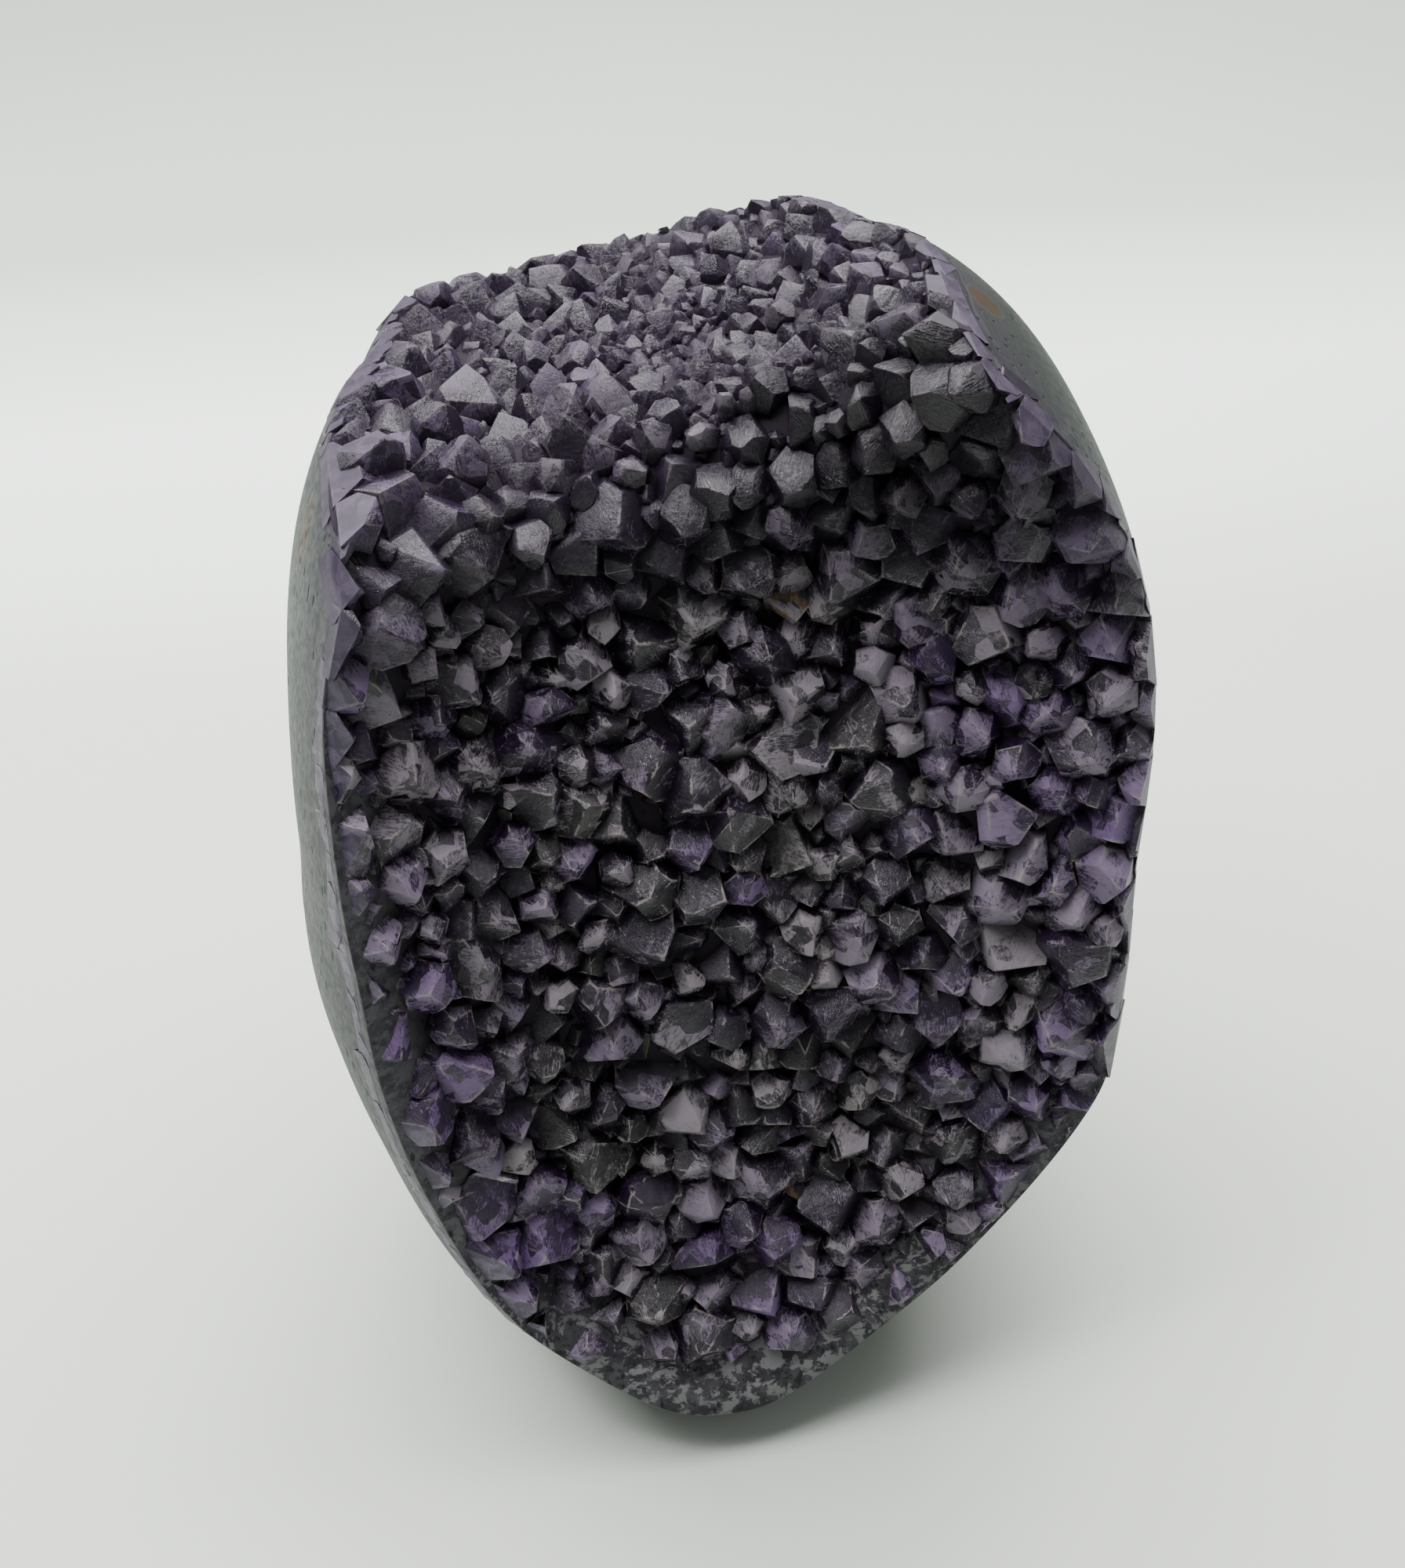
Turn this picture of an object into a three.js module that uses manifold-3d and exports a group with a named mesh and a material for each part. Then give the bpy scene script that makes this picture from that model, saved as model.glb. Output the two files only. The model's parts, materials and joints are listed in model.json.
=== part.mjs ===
// Skull carved from a block of amethyst geode wall. The face, the sides of the head and the jaw are carved and
// polished. The back and the top of the head are left as they grew: a shallow hollow and a crown of quartz
// points. Millimetres, +Z up. The face looks along +Y, the hollow faces -Y, and the skull stands on its sawn foot.
import * as THREE from 'three';
import { ConvexHull } from 'three/addons/math/ConvexHull.js';
import { mergeVertices } from 'three/addons/utils/BufferGeometryUtils.js';
import Module from 'manifold-3d';

const wasm = await Module();
wasm.setup();

// The carved block: plan sections by height, and a vault that closes it
const SECTIONS = {
  height: [0, 12, 30, 55, 75, 95, 125, 165],
  middle: [-6, -5, -2.8, 1.2, 0.3, 0.1, 0.7, -2.2], // x of the middle at the back, where the rough leans
  halfWidth: [22, 28.8, 45.8, 57.2, 59, 57.6, 57.7, 60],
  front: [42, 46, 47, 44, 43, 47, 50, 50], // reach ahead of the widest line
  back: [48, 56, 62, 66, 66, 66, 66, 66], // reach behind it
};
const WIDEST_Y = 8; // where every plan section is widest
const LEAN_FADE = 20; // how far before and behind that line the lean of the back fades out
const SECTION_POWER = 2.3; // 2 would be an ellipse in plan, and more is squarer
const VAULT_START = 95; // height where the sides begin to round over into the vault
const VAULT_TOP = 171; // its full height, before the crystal crown takes the top away
const VAULT_POWER = 2.3;
const FOOT_ROUNDING = 5; // of the edge all round the sawn foot
const FOOTPRINT_MIDDLE = { x: 0.2, y: 8.3 }; // middle of the finished skull's box, which is put over the origin
const SAW_KERF = 0.3; // how much of the rounded block the saw takes off to leave a flat foot

// Forms of the face, ellipsoids in mirrored pairs where x isn't 0, with how softly each blends in
const RAISED = [
  { at: [19, 47, 105], size: [24, 12, 7], blend: 8 }, // brow ridge
  { at: [39, 34, 69], size: [12, 16, 9], blend: 7 }, // cheekbone
  { at: [49, 18, 71.5], size: [7, 24, 6.5], blend: 6 }, // cheek arch
  { at: [0, 52, 87], size: [6, 13, 17], blend: 6 }, // bridge of the nose
  { at: [0, 38, 53], size: [23, 21, 17], blend: 8 }, // upper jaw
  { at: [0, 37, 30], size: [23, 22, 16], blend: 8 }, // tooth arch
  { at: [0, 46, 7], size: [19, 13, 10], blend: 8 }, // chin
  { at: [0, 48, 131], size: [34, 10, 22], blend: 16 }, // forehead
];
const HOLLOWED = [
  { at: [60, 38, 94], size: [13, 24, 20], blend: 10 }, // temple
  { at: [44, 53, 42], size: [16, 27, 17], blend: 9 }, // under the cheekbone
];

// The eye sockets and the nose opening are cut along lines that spread from the middle of the head. Their
// widths and heights are measured on the plane FACE_Y, and front and depth give the y of their middle and
// how far they go in from there. A corner of 2 makes an ellipse, and more makes a rounded square.
const FACE_HEART = new THREE.Vector3(0, -8, 80);
const FACE_Y = 55;
const SOCKET = { x: 22, z: 86.5, halfWidth: 16, halfHeight: 13.5, front: 60, depth: 30, droop: 0.2, corner: 2.7 };
const NOSE_TOP = { x: 0, z: 67, halfWidth: 5.6, halfHeight: 12, front: 60, depth: 28, droop: 0, corner: 2 };
const NOSE_LOW = { x: 4.6, z: 57, halfWidth: 6.2, halfHeight: 6.6, front: 60, depth: 30, droop: 0, corner: 2 };

// Teeth
const ARCH = { y: 34, radius: 24 }; // centre line of the tooth arch, seen from above
const BITE_HEIGHT = 30.5;
const CROWN_HEIGHTS = { upper: 9.5, lower: 8.5 };
const TOOTH_WIDTHS = [6.9, 5.7, 6.1, 5.6, 5.6]; // from the middle outwards
const TOOTH_GROOVE = { width: 1.1, depth: 1.6 };

// The wall that the crystals grow on: its profile in the middle plane, the hollow across it, which is deepest
// under the crown, and the crown, which is the grown top of the head and rises towards +X
const WALL = {
  height: [0, 16, 30, 50, 80, 105, 125, 145, 165],
  y: [-58, -49, -42, -34, -27, -21, -16, -19, -26],
};
const WALL_HEART = new THREE.Vector3(0, 45, 75); // the whole wall can be seen from here
const HOLLOW = { height: [80, 105, 125, 145], depth: [8, 11, 16, 19], halfWidth: 55 };
const LEFT_SWELL = { from: 25, to: 52, depth: 5 }; // how the wall comes out again towards its -X edge
const CROWN = { x: [-50, -25, 0, 20, 30, 45], height: [148, 143.3, 147.8, 156, 165, 175] };
const LIP_ROUNDING = 14; // of the roll from the hollow over to the crown

// Crystals, fewer and larger than the real ones, which are about 5 mm across
const CRYSTAL_PITCH = 6.6; // closest that two neighbours stand
const TIP_HEIGHT = [4.6, 7.4]; // of the crystals' tips above the wall
const VALLEY_HEIGHT = [1.9, 2.9]; // of the creases where neighbours meet
const TIP_SHIFT = 1.5; // farthest that a tip leans over sideways
const JOINT_GAP = 0.3; // between the crust and the rock under it

// How finely the surfaces are made: lines of the grid round the y axis and from front to back. Crowding over 1
// packs them at the front, and under 1 at the back.
const BLOCK_GRID = { around: 60, rings: 42, crowding: 1.2 };
const ROCK_GRID = { around: 34, rings: 24, crowding: 0.85 };
const HOLE_GRID = { around: 16, rings: 10 };

/** Repeatable random numbers from 0 to 1. */
function randomFrom(seed) {
  let state = seed;
  return () => {
    state = (state * 1664525 + 1013904223) % 4294967296;
    return state / 4294967296;
  };
}

/** Smooth curve through the values at the given stations, held level past the ends. */
function alongStations(stations, values, at) {
  const last = stations.length - 1;
  const x = THREE.MathUtils.clamp(at, stations[0], stations[last]);
  let i = 0;
  while (i < last - 1 && x >= stations[i + 1]) i += 1;
  const slope = (k) => {
    const before = Math.max(k - 1, 0);
    const after = Math.min(k + 1, last);
    return (values[after] - values[before]) / (stations[after] - stations[before]);
  };
  const span = stations[i + 1] - stations[i];
  const t = (x - stations[i]) / span;
  const t2 = t * t;
  const t3 = t2 * t;
  return (2 * t3 - 3 * t2 + 1) * values[i] + (t3 - 2 * t2 + t) * span * slope(i)
    + (3 * t2 - 2 * t3) * values[i + 1] + (t3 - t2) * span * slope(i + 1);
}

/** The larger of two distances, with the crease between them rounded. */
function softMax(a, b, rounding) {
  const share = THREE.MathUtils.clamp(0.5 + (0.5 * (a - b)) / rounding, 0, 1);
  return a * share + b * (1 - share) + rounding * share * (1 - share);
}

function softMin(a, b, rounding) {
  return -softMax(-a, -b, rounding);
}

/** About how far a point is outside a pair of mirrored ellipsoids. Negative inside. */
function outsideForm(p, { at, size }) {
  const reach = Math.hypot((Math.abs(p.x) - at[0]) / size[0], (p.y - at[1]) / size[1], (p.z - at[2]) / size[2]);
  return (reach - 1) * Math.min(...size);
}

/** About how far a point is outside the block with the forms of the face, as if the vault were whole. */
function outsideBlock(p) {
  const { height, middle, halfWidth, front, back } = SECTIONS;
  const width = alongStations(height, halfWidth, p.z);
  const ahead = alongStations(height, front, p.z);
  const reach = p.y > WIDEST_Y ? ahead : alongStations(height, back, p.z);
  const backness = THREE.MathUtils.smoothstep(-p.y, -WIDEST_Y - LEAN_FADE, LEAN_FADE - WIDEST_Y);
  const across = p.x - alongStations(height, middle, p.z) * backness;
  const plan = (Math.abs(across / width) ** SECTION_POWER
    + Math.abs((p.y - WIDEST_Y) / reach) ** SECTION_POWER) ** (1 / SECTION_POWER);
  const rise = Math.max(0, p.z - VAULT_START) / (VAULT_TOP - VAULT_START);
  const vaulted = (plan ** VAULT_POWER + rise ** VAULT_POWER) ** (1 / VAULT_POWER);
  let outside = (vaulted - 1) * Math.min(width, ahead);
  for (const form of RAISED) outside = softMin(outside, outsideForm(p, form), form.blend);
  for (const form of HOLLOWED) outside = softMax(outside, -outsideForm(p, form), form.blend);
  return softMax(outside, -(p.z + SAW_KERF), FOOT_ROUNDING);
}

/** About how far a point is outside the wall that the crystals grow on. */
function outsideWall(p) {
  const across = Math.min(1, Math.abs(p.x) / HOLLOW.halfWidth);
  const hollow = alongStations(HOLLOW.height, HOLLOW.depth, p.z) * (1 - across * across);
  const swell = LEFT_SWELL.depth * THREE.MathUtils.smoothstep(-p.x, LEFT_SWELL.from, LEFT_SWELL.to);
  const wallY = alongStations(WALL.height, WALL.y, p.z) + hollow - swell;
  return softMax(wallY - p.y, p.z - alongStations(CROWN.x, CROWN.height, p.x), LIP_ROUNDING);
}

/** The point where a line from the heart in some direction first leaves a field's inside. */
function surfacePoint(outside, heart, direction) {
  const nearest = 8;
  const farthest = 150;
  const step = 2;
  const pointAt = (distance) => direction.clone().multiplyScalar(distance).add(heart);
  let high = nearest;
  while (high < farthest && outside(pointAt(high)) < 0) high += step;
  let low = high - step;
  for (let halving = 0; halving < 16; halving += 1) {
    const middle = (low + high) / 2;
    if (outside(pointAt(middle)) < 0) low = middle;
    else high = middle;
  }
  return pointAt(low);
}

/** A sphere pushed out to a field's surface, with its poles along Y. */
function pushedSphere(outside, heart, { around, rings, crowding }) {
  const sphere = new THREE.SphereGeometry(1, around, rings);
  const places = sphere.attributes.position;
  const direction = new THREE.Vector3();
  for (let i = 0; i < places.count; i += 1) {
    direction.fromBufferAttribute(places, i);
    const turn = Math.atan2(direction.z, direction.x);
    const polar = Math.PI * (Math.acos(THREE.MathUtils.clamp(direction.y, -1, 1)) / Math.PI) ** crowding;
    direction.set(Math.sin(polar) * Math.cos(turn), Math.cos(polar), Math.sin(polar) * Math.sin(turn));
    const place = surfacePoint(outside, heart, direction);
    places.setXYZ(i, place.x, place.y, place.z);
  }
  return sphere;
}

/** A three.js geometry as a solid that can be joined and cut. */
function asSolid(geometry) {
  geometry.deleteAttribute('normal');
  geometry.deleteAttribute('uv');
  const merged = mergeVertices(geometry, 1e-4);
  const corners = Array.from(merged.index.array);
  const triangles = [];
  for (let i = 0; i < corners.length; i += 3) {
    const [a, b, c] = corners.slice(i, i + 3);
    if (a !== b && b !== c && c !== a) triangles.push(a, b, c);
  }
  return new wasm.Manifold(new wasm.Mesh({
    numProp: 3,
    vertProperties: Float32Array.from(merged.attributes.position.array),
    triVerts: Uint32Array.from(triangles),
  }));
}

/** A named mesh of a finished solid. */
function meshOf(solid, name, material) {
  const { vertProperties, triVerts } = solid.getMesh();
  const geometry = new THREE.BufferGeometry();
  geometry.setAttribute('position', new THREE.BufferAttribute(Float32Array.from(vertProperties), 3));
  geometry.setIndex(new THREE.BufferAttribute(Uint32Array.from(triVerts), 1));
  geometry.computeVertexNormals();
  const mesh = new THREE.Mesh(geometry, new THREE.MeshStandardMaterial(material));
  mesh.name = name;
  return mesh;
}

/** Everything under z = 0, which the saw takes off. */
function underTheFoot() {
  const size = 300; // more than the block's own on all sides
  const box = new THREE.BoxGeometry(size, size, size);
  box.translate(0, 0, -size / 2);
  return asSolid(box);
}

/** One hole of the face: a rounded form on the face plane that spreads with the lines from the heart. */
function faceHole(side, { x, z, halfWidth, halfHeight, front, depth, droop, corner }) {
  const hole = new THREE.SphereGeometry(1, HOLE_GRID.around, HOLE_GRID.rings);
  const places = hole.attributes.position;
  for (let i = 0; i < places.count; i += 1) {
    const outward = side * places.getX(i);
    const turn = Math.atan2(places.getY(i), outward);
    const squareness = (Math.abs(Math.cos(turn)) ** corner + Math.abs(Math.sin(turn)) ** corner) ** (1 / corner);
    const across = (halfWidth * outward) / squareness;
    const up = (halfHeight * places.getY(i)) / squareness;
    const y = front - depth * places.getZ(i);
    const spread = (y - FACE_HEART.y) / (FACE_Y - FACE_HEART.y);
    const seenX = side * (x + across * Math.cos(droop) + up * Math.sin(droop));
    const seenZ = z - across * Math.sin(droop) + up * Math.cos(droop);
    places.setXYZ(i, seenX * spread, y, FACE_HEART.z + (seenZ - FACE_HEART.z) * spread);
  }
  return asSolid(hole);
}

/** Both eye sockets, and the pear-shaped nose opening. */
function faceHoles() {
  const sides = [-1, 1];
  const sockets = sides.map((side) => faceHole(side, SOCKET));
  const nose = sides.map((side) => faceHole(side, NOSE_LOW));
  return wasm.Manifold.union([...sockets, ...nose, faceHole(1, NOSE_TOP)]);
}

/** A slot cut into the front of the tooth arch, some arc length away from its middle. */
function slotInArch(arc, height, width, tall) {
  const turn = arc / ARCH.radius;
  const outwards = new THREE.Vector3(Math.sin(turn), Math.cos(turn), 0);
  const front = surfacePoint(outsideBlock, new THREE.Vector3(0, ARCH.y, height), outwards);
  const { depth } = TOOTH_GROOVE;
  const slot = new THREE.BoxGeometry(width, depth * 4, tall); // a quarter of it is in the stone
  slot.rotateZ(-turn);
  slot.translate(front.x + outwards.x * depth, front.y + outwards.y * depth, front.z);
  return asSolid(slot);
}

/** All the cuts that part the teeth: a groove between each two, and a line of short slots for the bite. */
function toothCuts() {
  const tall = CROWN_HEIGHTS.upper + CROWN_HEIGHTS.lower;
  const middle = BITE_HEIGHT + (CROWN_HEIGHTS.upper - CROWN_HEIGHTS.lower) / 2;
  const overlap = 1.2; // of one tooth's bite slot over the next
  const cuts = [slotInArch(0, middle, TOOTH_GROOVE.width, tall)];
  for (const side of [-1, 1]) {
    let arc = 0;
    for (const width of TOOTH_WIDTHS) {
      cuts.push(slotInArch(side * (arc + width / 2), BITE_HEIGHT, width * overlap, TOOTH_GROOVE.width));
      arc += width;
      cuts.push(slotInArch(side * arc, middle, TOOTH_GROOVE.width, tall));
    }
  }
  return wasm.Manifold.union(cuts);
}

/** The solid on the rock's side of the crystal wall, moved outwards by a distance. */
function rockSide(outwards) {
  return asSolid(pushedSphere((p) => outsideWall(p) - outwards, WALL_HEART, ROCK_GRID));
}

/** Where the line from the heart through a point meets the wall, moved straight out of it by a height. */
function aboveWall(point, height) {
  const place = surfacePoint(outsideWall, WALL_HEART, point.clone().sub(WALL_HEART).normalize());
  const h = 0.5;
  const rise = (x, y, z) => (
    outsideWall({ x: place.x + x, y: place.y + y, z: place.z + z })
    - outsideWall({ x: place.x - x, y: place.y - y, z: place.z - z })
  );
  const normal = new THREE.Vector3(rise(h, 0, 0), rise(0, h, 0), rise(0, 0, h)).normalize();
  return place.addScaledVector(normal, height);
}

/** Evenly spread places on the wall, the skull's part of it dense and the rest sparse. */
function crystalPlaces(random) {
  const tries = 14000;
  const goldenTurn = Math.PI * (3 - Math.sqrt(5)); // spreads directions evenly over a sphere
  const jitter = 0.04;
  const places = [];
  for (let i = 0; i < tries; i += 1) {
    const y = 1 - (2 * (i + 0.5)) / tries;
    const ring = Math.sqrt(1 - y * y);
    const x = ring * Math.cos(i * goldenTurn) + (random() - 0.5) * jitter;
    const z = ring * Math.sin(i * goldenTurn) + (random() - 0.5) * jitter;
    const place = aboveWall(new THREE.Vector3(x, y, z).add(WALL_HEART), 0);
    const pitch = outsideBlock(place) < CRYSTAL_PITCH * 2 ? CRYSTAL_PITCH : CRYSTAL_PITCH * 4;
    if (places.every((other) => other.distanceTo(place) > pitch)) places.push(place);
  }
  return places;
}

/** Quartz points grown together all over the wall: each is a pyramid of flat faces down to its valleys. */
function crystalGrowth() {
  const random = randomFrom(11);
  const between = ([low, high]) => low + (high - low) * random();
  const aside = () => (random() - 0.5) * 2 * TIP_SHIFT;
  const places = crystalPlaces(random);
  const placeOf = new Map();
  const directions = places.map((place) => {
    const direction = place.clone().sub(WALL_HEART).normalize();
    placeOf.set(direction, place);
    return direction;
  });
  const neighbours = new ConvexHull().setFromPoints(directions);
  const tips = new Map();
  for (const { point } of neighbours.vertices) {
    const shift = new THREE.Vector3(aside(), aside(), aside());
    tips.set(point, aboveWall(placeOf.get(point), between(TIP_HEIGHT)).add(shift));
  }
  const valleys = new Map();
  for (const face of neighbours.faces) {
    const middle = new THREE.Vector3();
    for (const edge of [face.edge, face.edge.next, face.edge.prev]) middle.add(placeOf.get(edge.head().point));
    valleys.set(face, aboveWall(middle.divideScalar(3), between(VALLEY_HEIGHT)));
  }
  const corners = [];
  for (const face of neighbours.faces) {
    for (const edge of [face.edge, face.edge.next, face.edge.prev]) {
      corners.push(tips.get(edge.head().point), valleys.get(face), valleys.get(edge.twin.face));
    }
  }
  return asSolid(new THREE.BufferGeometry().setFromPoints(corners));
}

/** The carved and polished rock, with the bare wall at its back. */
function polishedStone(block) {
  const solid = block.intersect(rockSide(0)).subtract(faceHoles()).subtract(toothCuts());
  return meshOf(solid, 'polished_stone', { color: 0x6d7573, roughness: 0.2, metalness: 0 });
}

/** The crystals down to the rock, with their edge ground flush with the polish. */
function crystalCrust(block) {
  const solid = crystalGrowth().subtract(rockSide(JOINT_GAP)).intersect(block);
  return meshOf(solid, 'crystal_crust', { color: 0x35264a, roughness: 0.2, metalness: 0 });
}

const block = asSolid(pushedSphere(outsideBlock, FACE_HEART, BLOCK_GRID)).subtract(underTheFoot());
const skull = new THREE.Group();
skull.add(polishedStone(block), crystalCrust(block));
skull.position.set(-FOOTPRINT_MIDDLE.x, -FOOTPRINT_MIDDLE.y, 0);

export default skull;
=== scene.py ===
"""Skull carved from a block of amethyst geode wall, seen from its druzy back."""
import json
import math
import bpy
import bmesh
import numpy as np
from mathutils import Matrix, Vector

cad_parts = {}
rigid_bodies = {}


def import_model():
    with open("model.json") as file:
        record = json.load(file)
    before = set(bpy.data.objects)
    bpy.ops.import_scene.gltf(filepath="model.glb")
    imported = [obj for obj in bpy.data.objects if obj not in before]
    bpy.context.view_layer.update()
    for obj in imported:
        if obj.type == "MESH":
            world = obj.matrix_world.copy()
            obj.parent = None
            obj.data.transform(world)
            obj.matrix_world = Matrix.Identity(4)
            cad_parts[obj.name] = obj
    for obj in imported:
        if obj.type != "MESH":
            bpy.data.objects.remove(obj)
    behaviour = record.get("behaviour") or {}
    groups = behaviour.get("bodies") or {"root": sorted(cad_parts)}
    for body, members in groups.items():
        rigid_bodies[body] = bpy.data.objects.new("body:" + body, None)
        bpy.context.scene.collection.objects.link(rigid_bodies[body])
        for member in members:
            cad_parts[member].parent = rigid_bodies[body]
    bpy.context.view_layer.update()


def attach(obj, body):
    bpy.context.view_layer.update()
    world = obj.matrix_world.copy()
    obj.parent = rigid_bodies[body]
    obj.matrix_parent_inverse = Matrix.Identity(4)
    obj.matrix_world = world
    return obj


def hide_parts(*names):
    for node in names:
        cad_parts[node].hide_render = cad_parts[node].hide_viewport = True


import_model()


# The polished stone
# The rock itself: geode wall, carved as a skull's face, sides and jaw, and polished. Next to the crystals it
# is quartz, then come bands of grey-green agate with patches of brown rock. Sizes of shapes are millimetres,
# before the skull's box is put over the origin.
SECTION_HEIGHTS = [0, 12, 30, 55, 75, 95, 125, 165]
SECTION_MIDDLE = [-6, -5, -2.8, 1.2, 0.3, 0.1, 0.7, -2.2]
SECTION_HALF_WIDTH = [22, 28.8, 45.8, 57.2, 59, 57.6, 57.7, 60]
SECTION_FRONT = [42, 46, 47, 44, 43, 47, 50, 50]
SECTION_BACK = [48, 56, 62, 66, 66, 66, 66, 66]
WIDEST_Y = 8
LEAN_FADE = 20
SECTION_POWER = 2.3
VAULT_START, VAULT_TOP, VAULT_POWER = 95, 171, 2.3
FOOT_ROUNDING = 5
SAW_KERF = 0.3
FOOTPRINT_MIDDLE = np.array([0.2, 8.3, 0.0])

RAISED_FORMS = [
    ((19, 47, 105), (24, 12, 7), 8),  # brow ridge
    ((39, 34, 69), (12, 16, 9), 7),  # cheekbone
    ((49, 18, 71.5), (7, 24, 6.5), 6),  # cheek arch
    ((0, 52, 87), (6, 13, 17), 6),  # bridge of the nose
    ((0, 38, 53), (23, 21, 17), 8),  # upper jaw
    ((0, 37, 30), (23, 22, 16), 8),  # tooth arch
    ((0, 46, 7), (19, 13, 10), 8),  # chin
    ((0, 48, 131), (34, 10, 22), 16),  # forehead
]
HOLLOWED_FORMS = [
    ((60, 38, 94), (13, 24, 20), 10),  # temple
    ((44, 53, 42), (16, 27, 17), 9),  # under the cheekbone
]

WALL_HEIGHTS = [0, 16, 30, 50, 80, 105, 125, 145, 165]
WALL_Y = [-58, -49, -42, -34, -27, -21, -16, -19, -26]
HOLLOW_HEIGHTS, HOLLOW_DEPTH = [80, 105, 125, 145], [8, 11, 16, 19]
HOLLOW_HALF_WIDTH = 55
LEFT_SWELL_FROM, LEFT_SWELL_TO, LEFT_SWELL_DEPTH = 25, 52, 5
CROWN_X = [-50, -25, 0, 20, 30, 45]
CROWN_HEIGHT = [148, 143.3, 147.8, 156, 165, 175]
LIP_ROUNDING = 14


def along(stations, values, at):
    """Smooth curve through the values at the stations, level past the ends."""
    s, v = np.asarray(stations, float), np.asarray(values, float)
    before = np.maximum(np.arange(len(s)) - 1, 0)
    after = np.minimum(np.arange(len(s)) + 1, len(s) - 1)
    slope = (v[after] - v[before]) / (s[after] - s[before])
    x = np.clip(at, s[0], s[-1])
    i = np.clip(np.searchsorted(s, x, side="right") - 1, 0, len(s) - 2)
    span = s[i + 1] - s[i]
    t = (x - s[i]) / span
    t2, t3 = t * t, t * t * t
    return ((2 * t3 - 3 * t2 + 1) * v[i] + (t3 - 2 * t2 + t) * span * slope[i]
            + (3 * t2 - 2 * t3) * v[i + 1] + (t3 - t2) * span * slope[i + 1])


def soft_max(a, b, rounding):
    share = np.clip(0.5 + 0.5 * (a - b) / rounding, 0, 1)
    return a * share + b * (1 - share) + rounding * share * (1 - share)


def soft_min(a, b, rounding):
    return -soft_max(-a, -b, rounding)


def smooth_step(x, low, high):
    t = np.clip((x - low) / (high - low), 0, 1)
    return t * t * (3 - 2 * t)


def outside_form(p, at, size):
    reach = np.sqrt(((np.abs(p[:, 0]) - at[0]) / size[0]) ** 2 + ((p[:, 1] - at[1]) / size[1]) ** 2
                    + ((p[:, 2] - at[2]) / size[2]) ** 2)
    return (reach - 1) * min(size)


def outside_block(p):
    """About how far points are outside the carved block, its eye sockets, nose and teeth not yet cut."""
    x, y, z = p[:, 0], p[:, 1], p[:, 2]
    width = along(SECTION_HEIGHTS, SECTION_HALF_WIDTH, z)
    ahead = along(SECTION_HEIGHTS, SECTION_FRONT, z)
    reach = np.where(y > WIDEST_Y, ahead, along(SECTION_HEIGHTS, SECTION_BACK, z))
    backness = smooth_step(-y, -WIDEST_Y - LEAN_FADE, LEAN_FADE - WIDEST_Y)
    across = x - along(SECTION_HEIGHTS, SECTION_MIDDLE, z) * backness
    plan = (np.abs(across / width) ** SECTION_POWER
            + np.abs((y - WIDEST_Y) / reach) ** SECTION_POWER) ** (1 / SECTION_POWER)
    rise = np.maximum(0, z - VAULT_START) / (VAULT_TOP - VAULT_START)
    vaulted = (plan ** VAULT_POWER + rise ** VAULT_POWER) ** (1 / VAULT_POWER)
    outside = (vaulted - 1) * np.minimum(width, ahead)
    for at, size, blend in RAISED_FORMS:
        outside = soft_min(outside, outside_form(p, at, size), blend)
    for at, size, blend in HOLLOWED_FORMS:
        outside = soft_max(outside, -outside_form(p, at, size), blend)
    return soft_max(outside, -(z + SAW_KERF), FOOT_ROUNDING)


def outside_wall(p):
    """About how far points are outside the wall that the crystals grow on."""
    across = np.minimum(1, np.abs(p[:, 0]) / HOLLOW_HALF_WIDTH)
    hollow = along(HOLLOW_HEIGHTS, HOLLOW_DEPTH, p[:, 2]) * (1 - across ** 2)
    wall = along(WALL_HEIGHTS, WALL_Y, p[:, 2]) + hollow
    wall -= LEFT_SWELL_DEPTH * smooth_step(-p[:, 0], LEFT_SWELL_FROM, LEFT_SWELL_TO)
    return soft_max(wall - p[:, 1], p[:, 2] - along(CROWN_X, CROWN_HEIGHT, p[:, 0]), LIP_ROUNDING)


FACE_HEART = np.array([0.0, -8.0, 80.0])
FACE_Y = 55.0
SOCKET = dict(x=22, z=86.5, half_width=16, half_height=13.5, front=60, depth=30, droop=0.2, corner=2.7)
SOCKET_EDGE = 3.5
NOSE_TOP = dict(x=0, z=67, half_width=5.6, half_height=12, front=60, depth=28, droop=0, corner=2)
NOSE_LOW = dict(x=4.6, z=57, half_width=6.2, half_height=6.6, front=60, depth=30, droop=0, corner=2)
NOSE_EDGE = 2.0
ARCH_Y, ARCH_RADIUS = 34.0, 24.0
BITE_HEIGHT = 30.5
UPPER_CROWN, LOWER_CROWN = 9.5, 8.5
TOOTH_WIDTHS = [6.9, 5.7, 6.1, 5.6, 5.6]


def outside_hole(p, x, z, half_width, half_height, front, depth, droop, corner):
    """About how far points are outside an opening of the face that spreads with the lines from the heart."""
    spread = (FACE_Y - FACE_HEART[1]) / np.maximum(p[:, 1] - FACE_HEART[1], 8)
    across = np.abs(p[:, 0]) * spread - x
    up = FACE_HEART[2] + (p[:, 2] - FACE_HEART[2]) * spread - z
    c, s = math.cos(droop), math.sin(droop)
    across, up = across * c - up * s, across * s + up * c
    flat = (np.abs(across / half_width) ** corner + np.abs(up / half_height) ** corner) ** (1 / corner)
    return (np.hypot(flat, (p[:, 1] - front) / depth) - 1) * half_height


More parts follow.
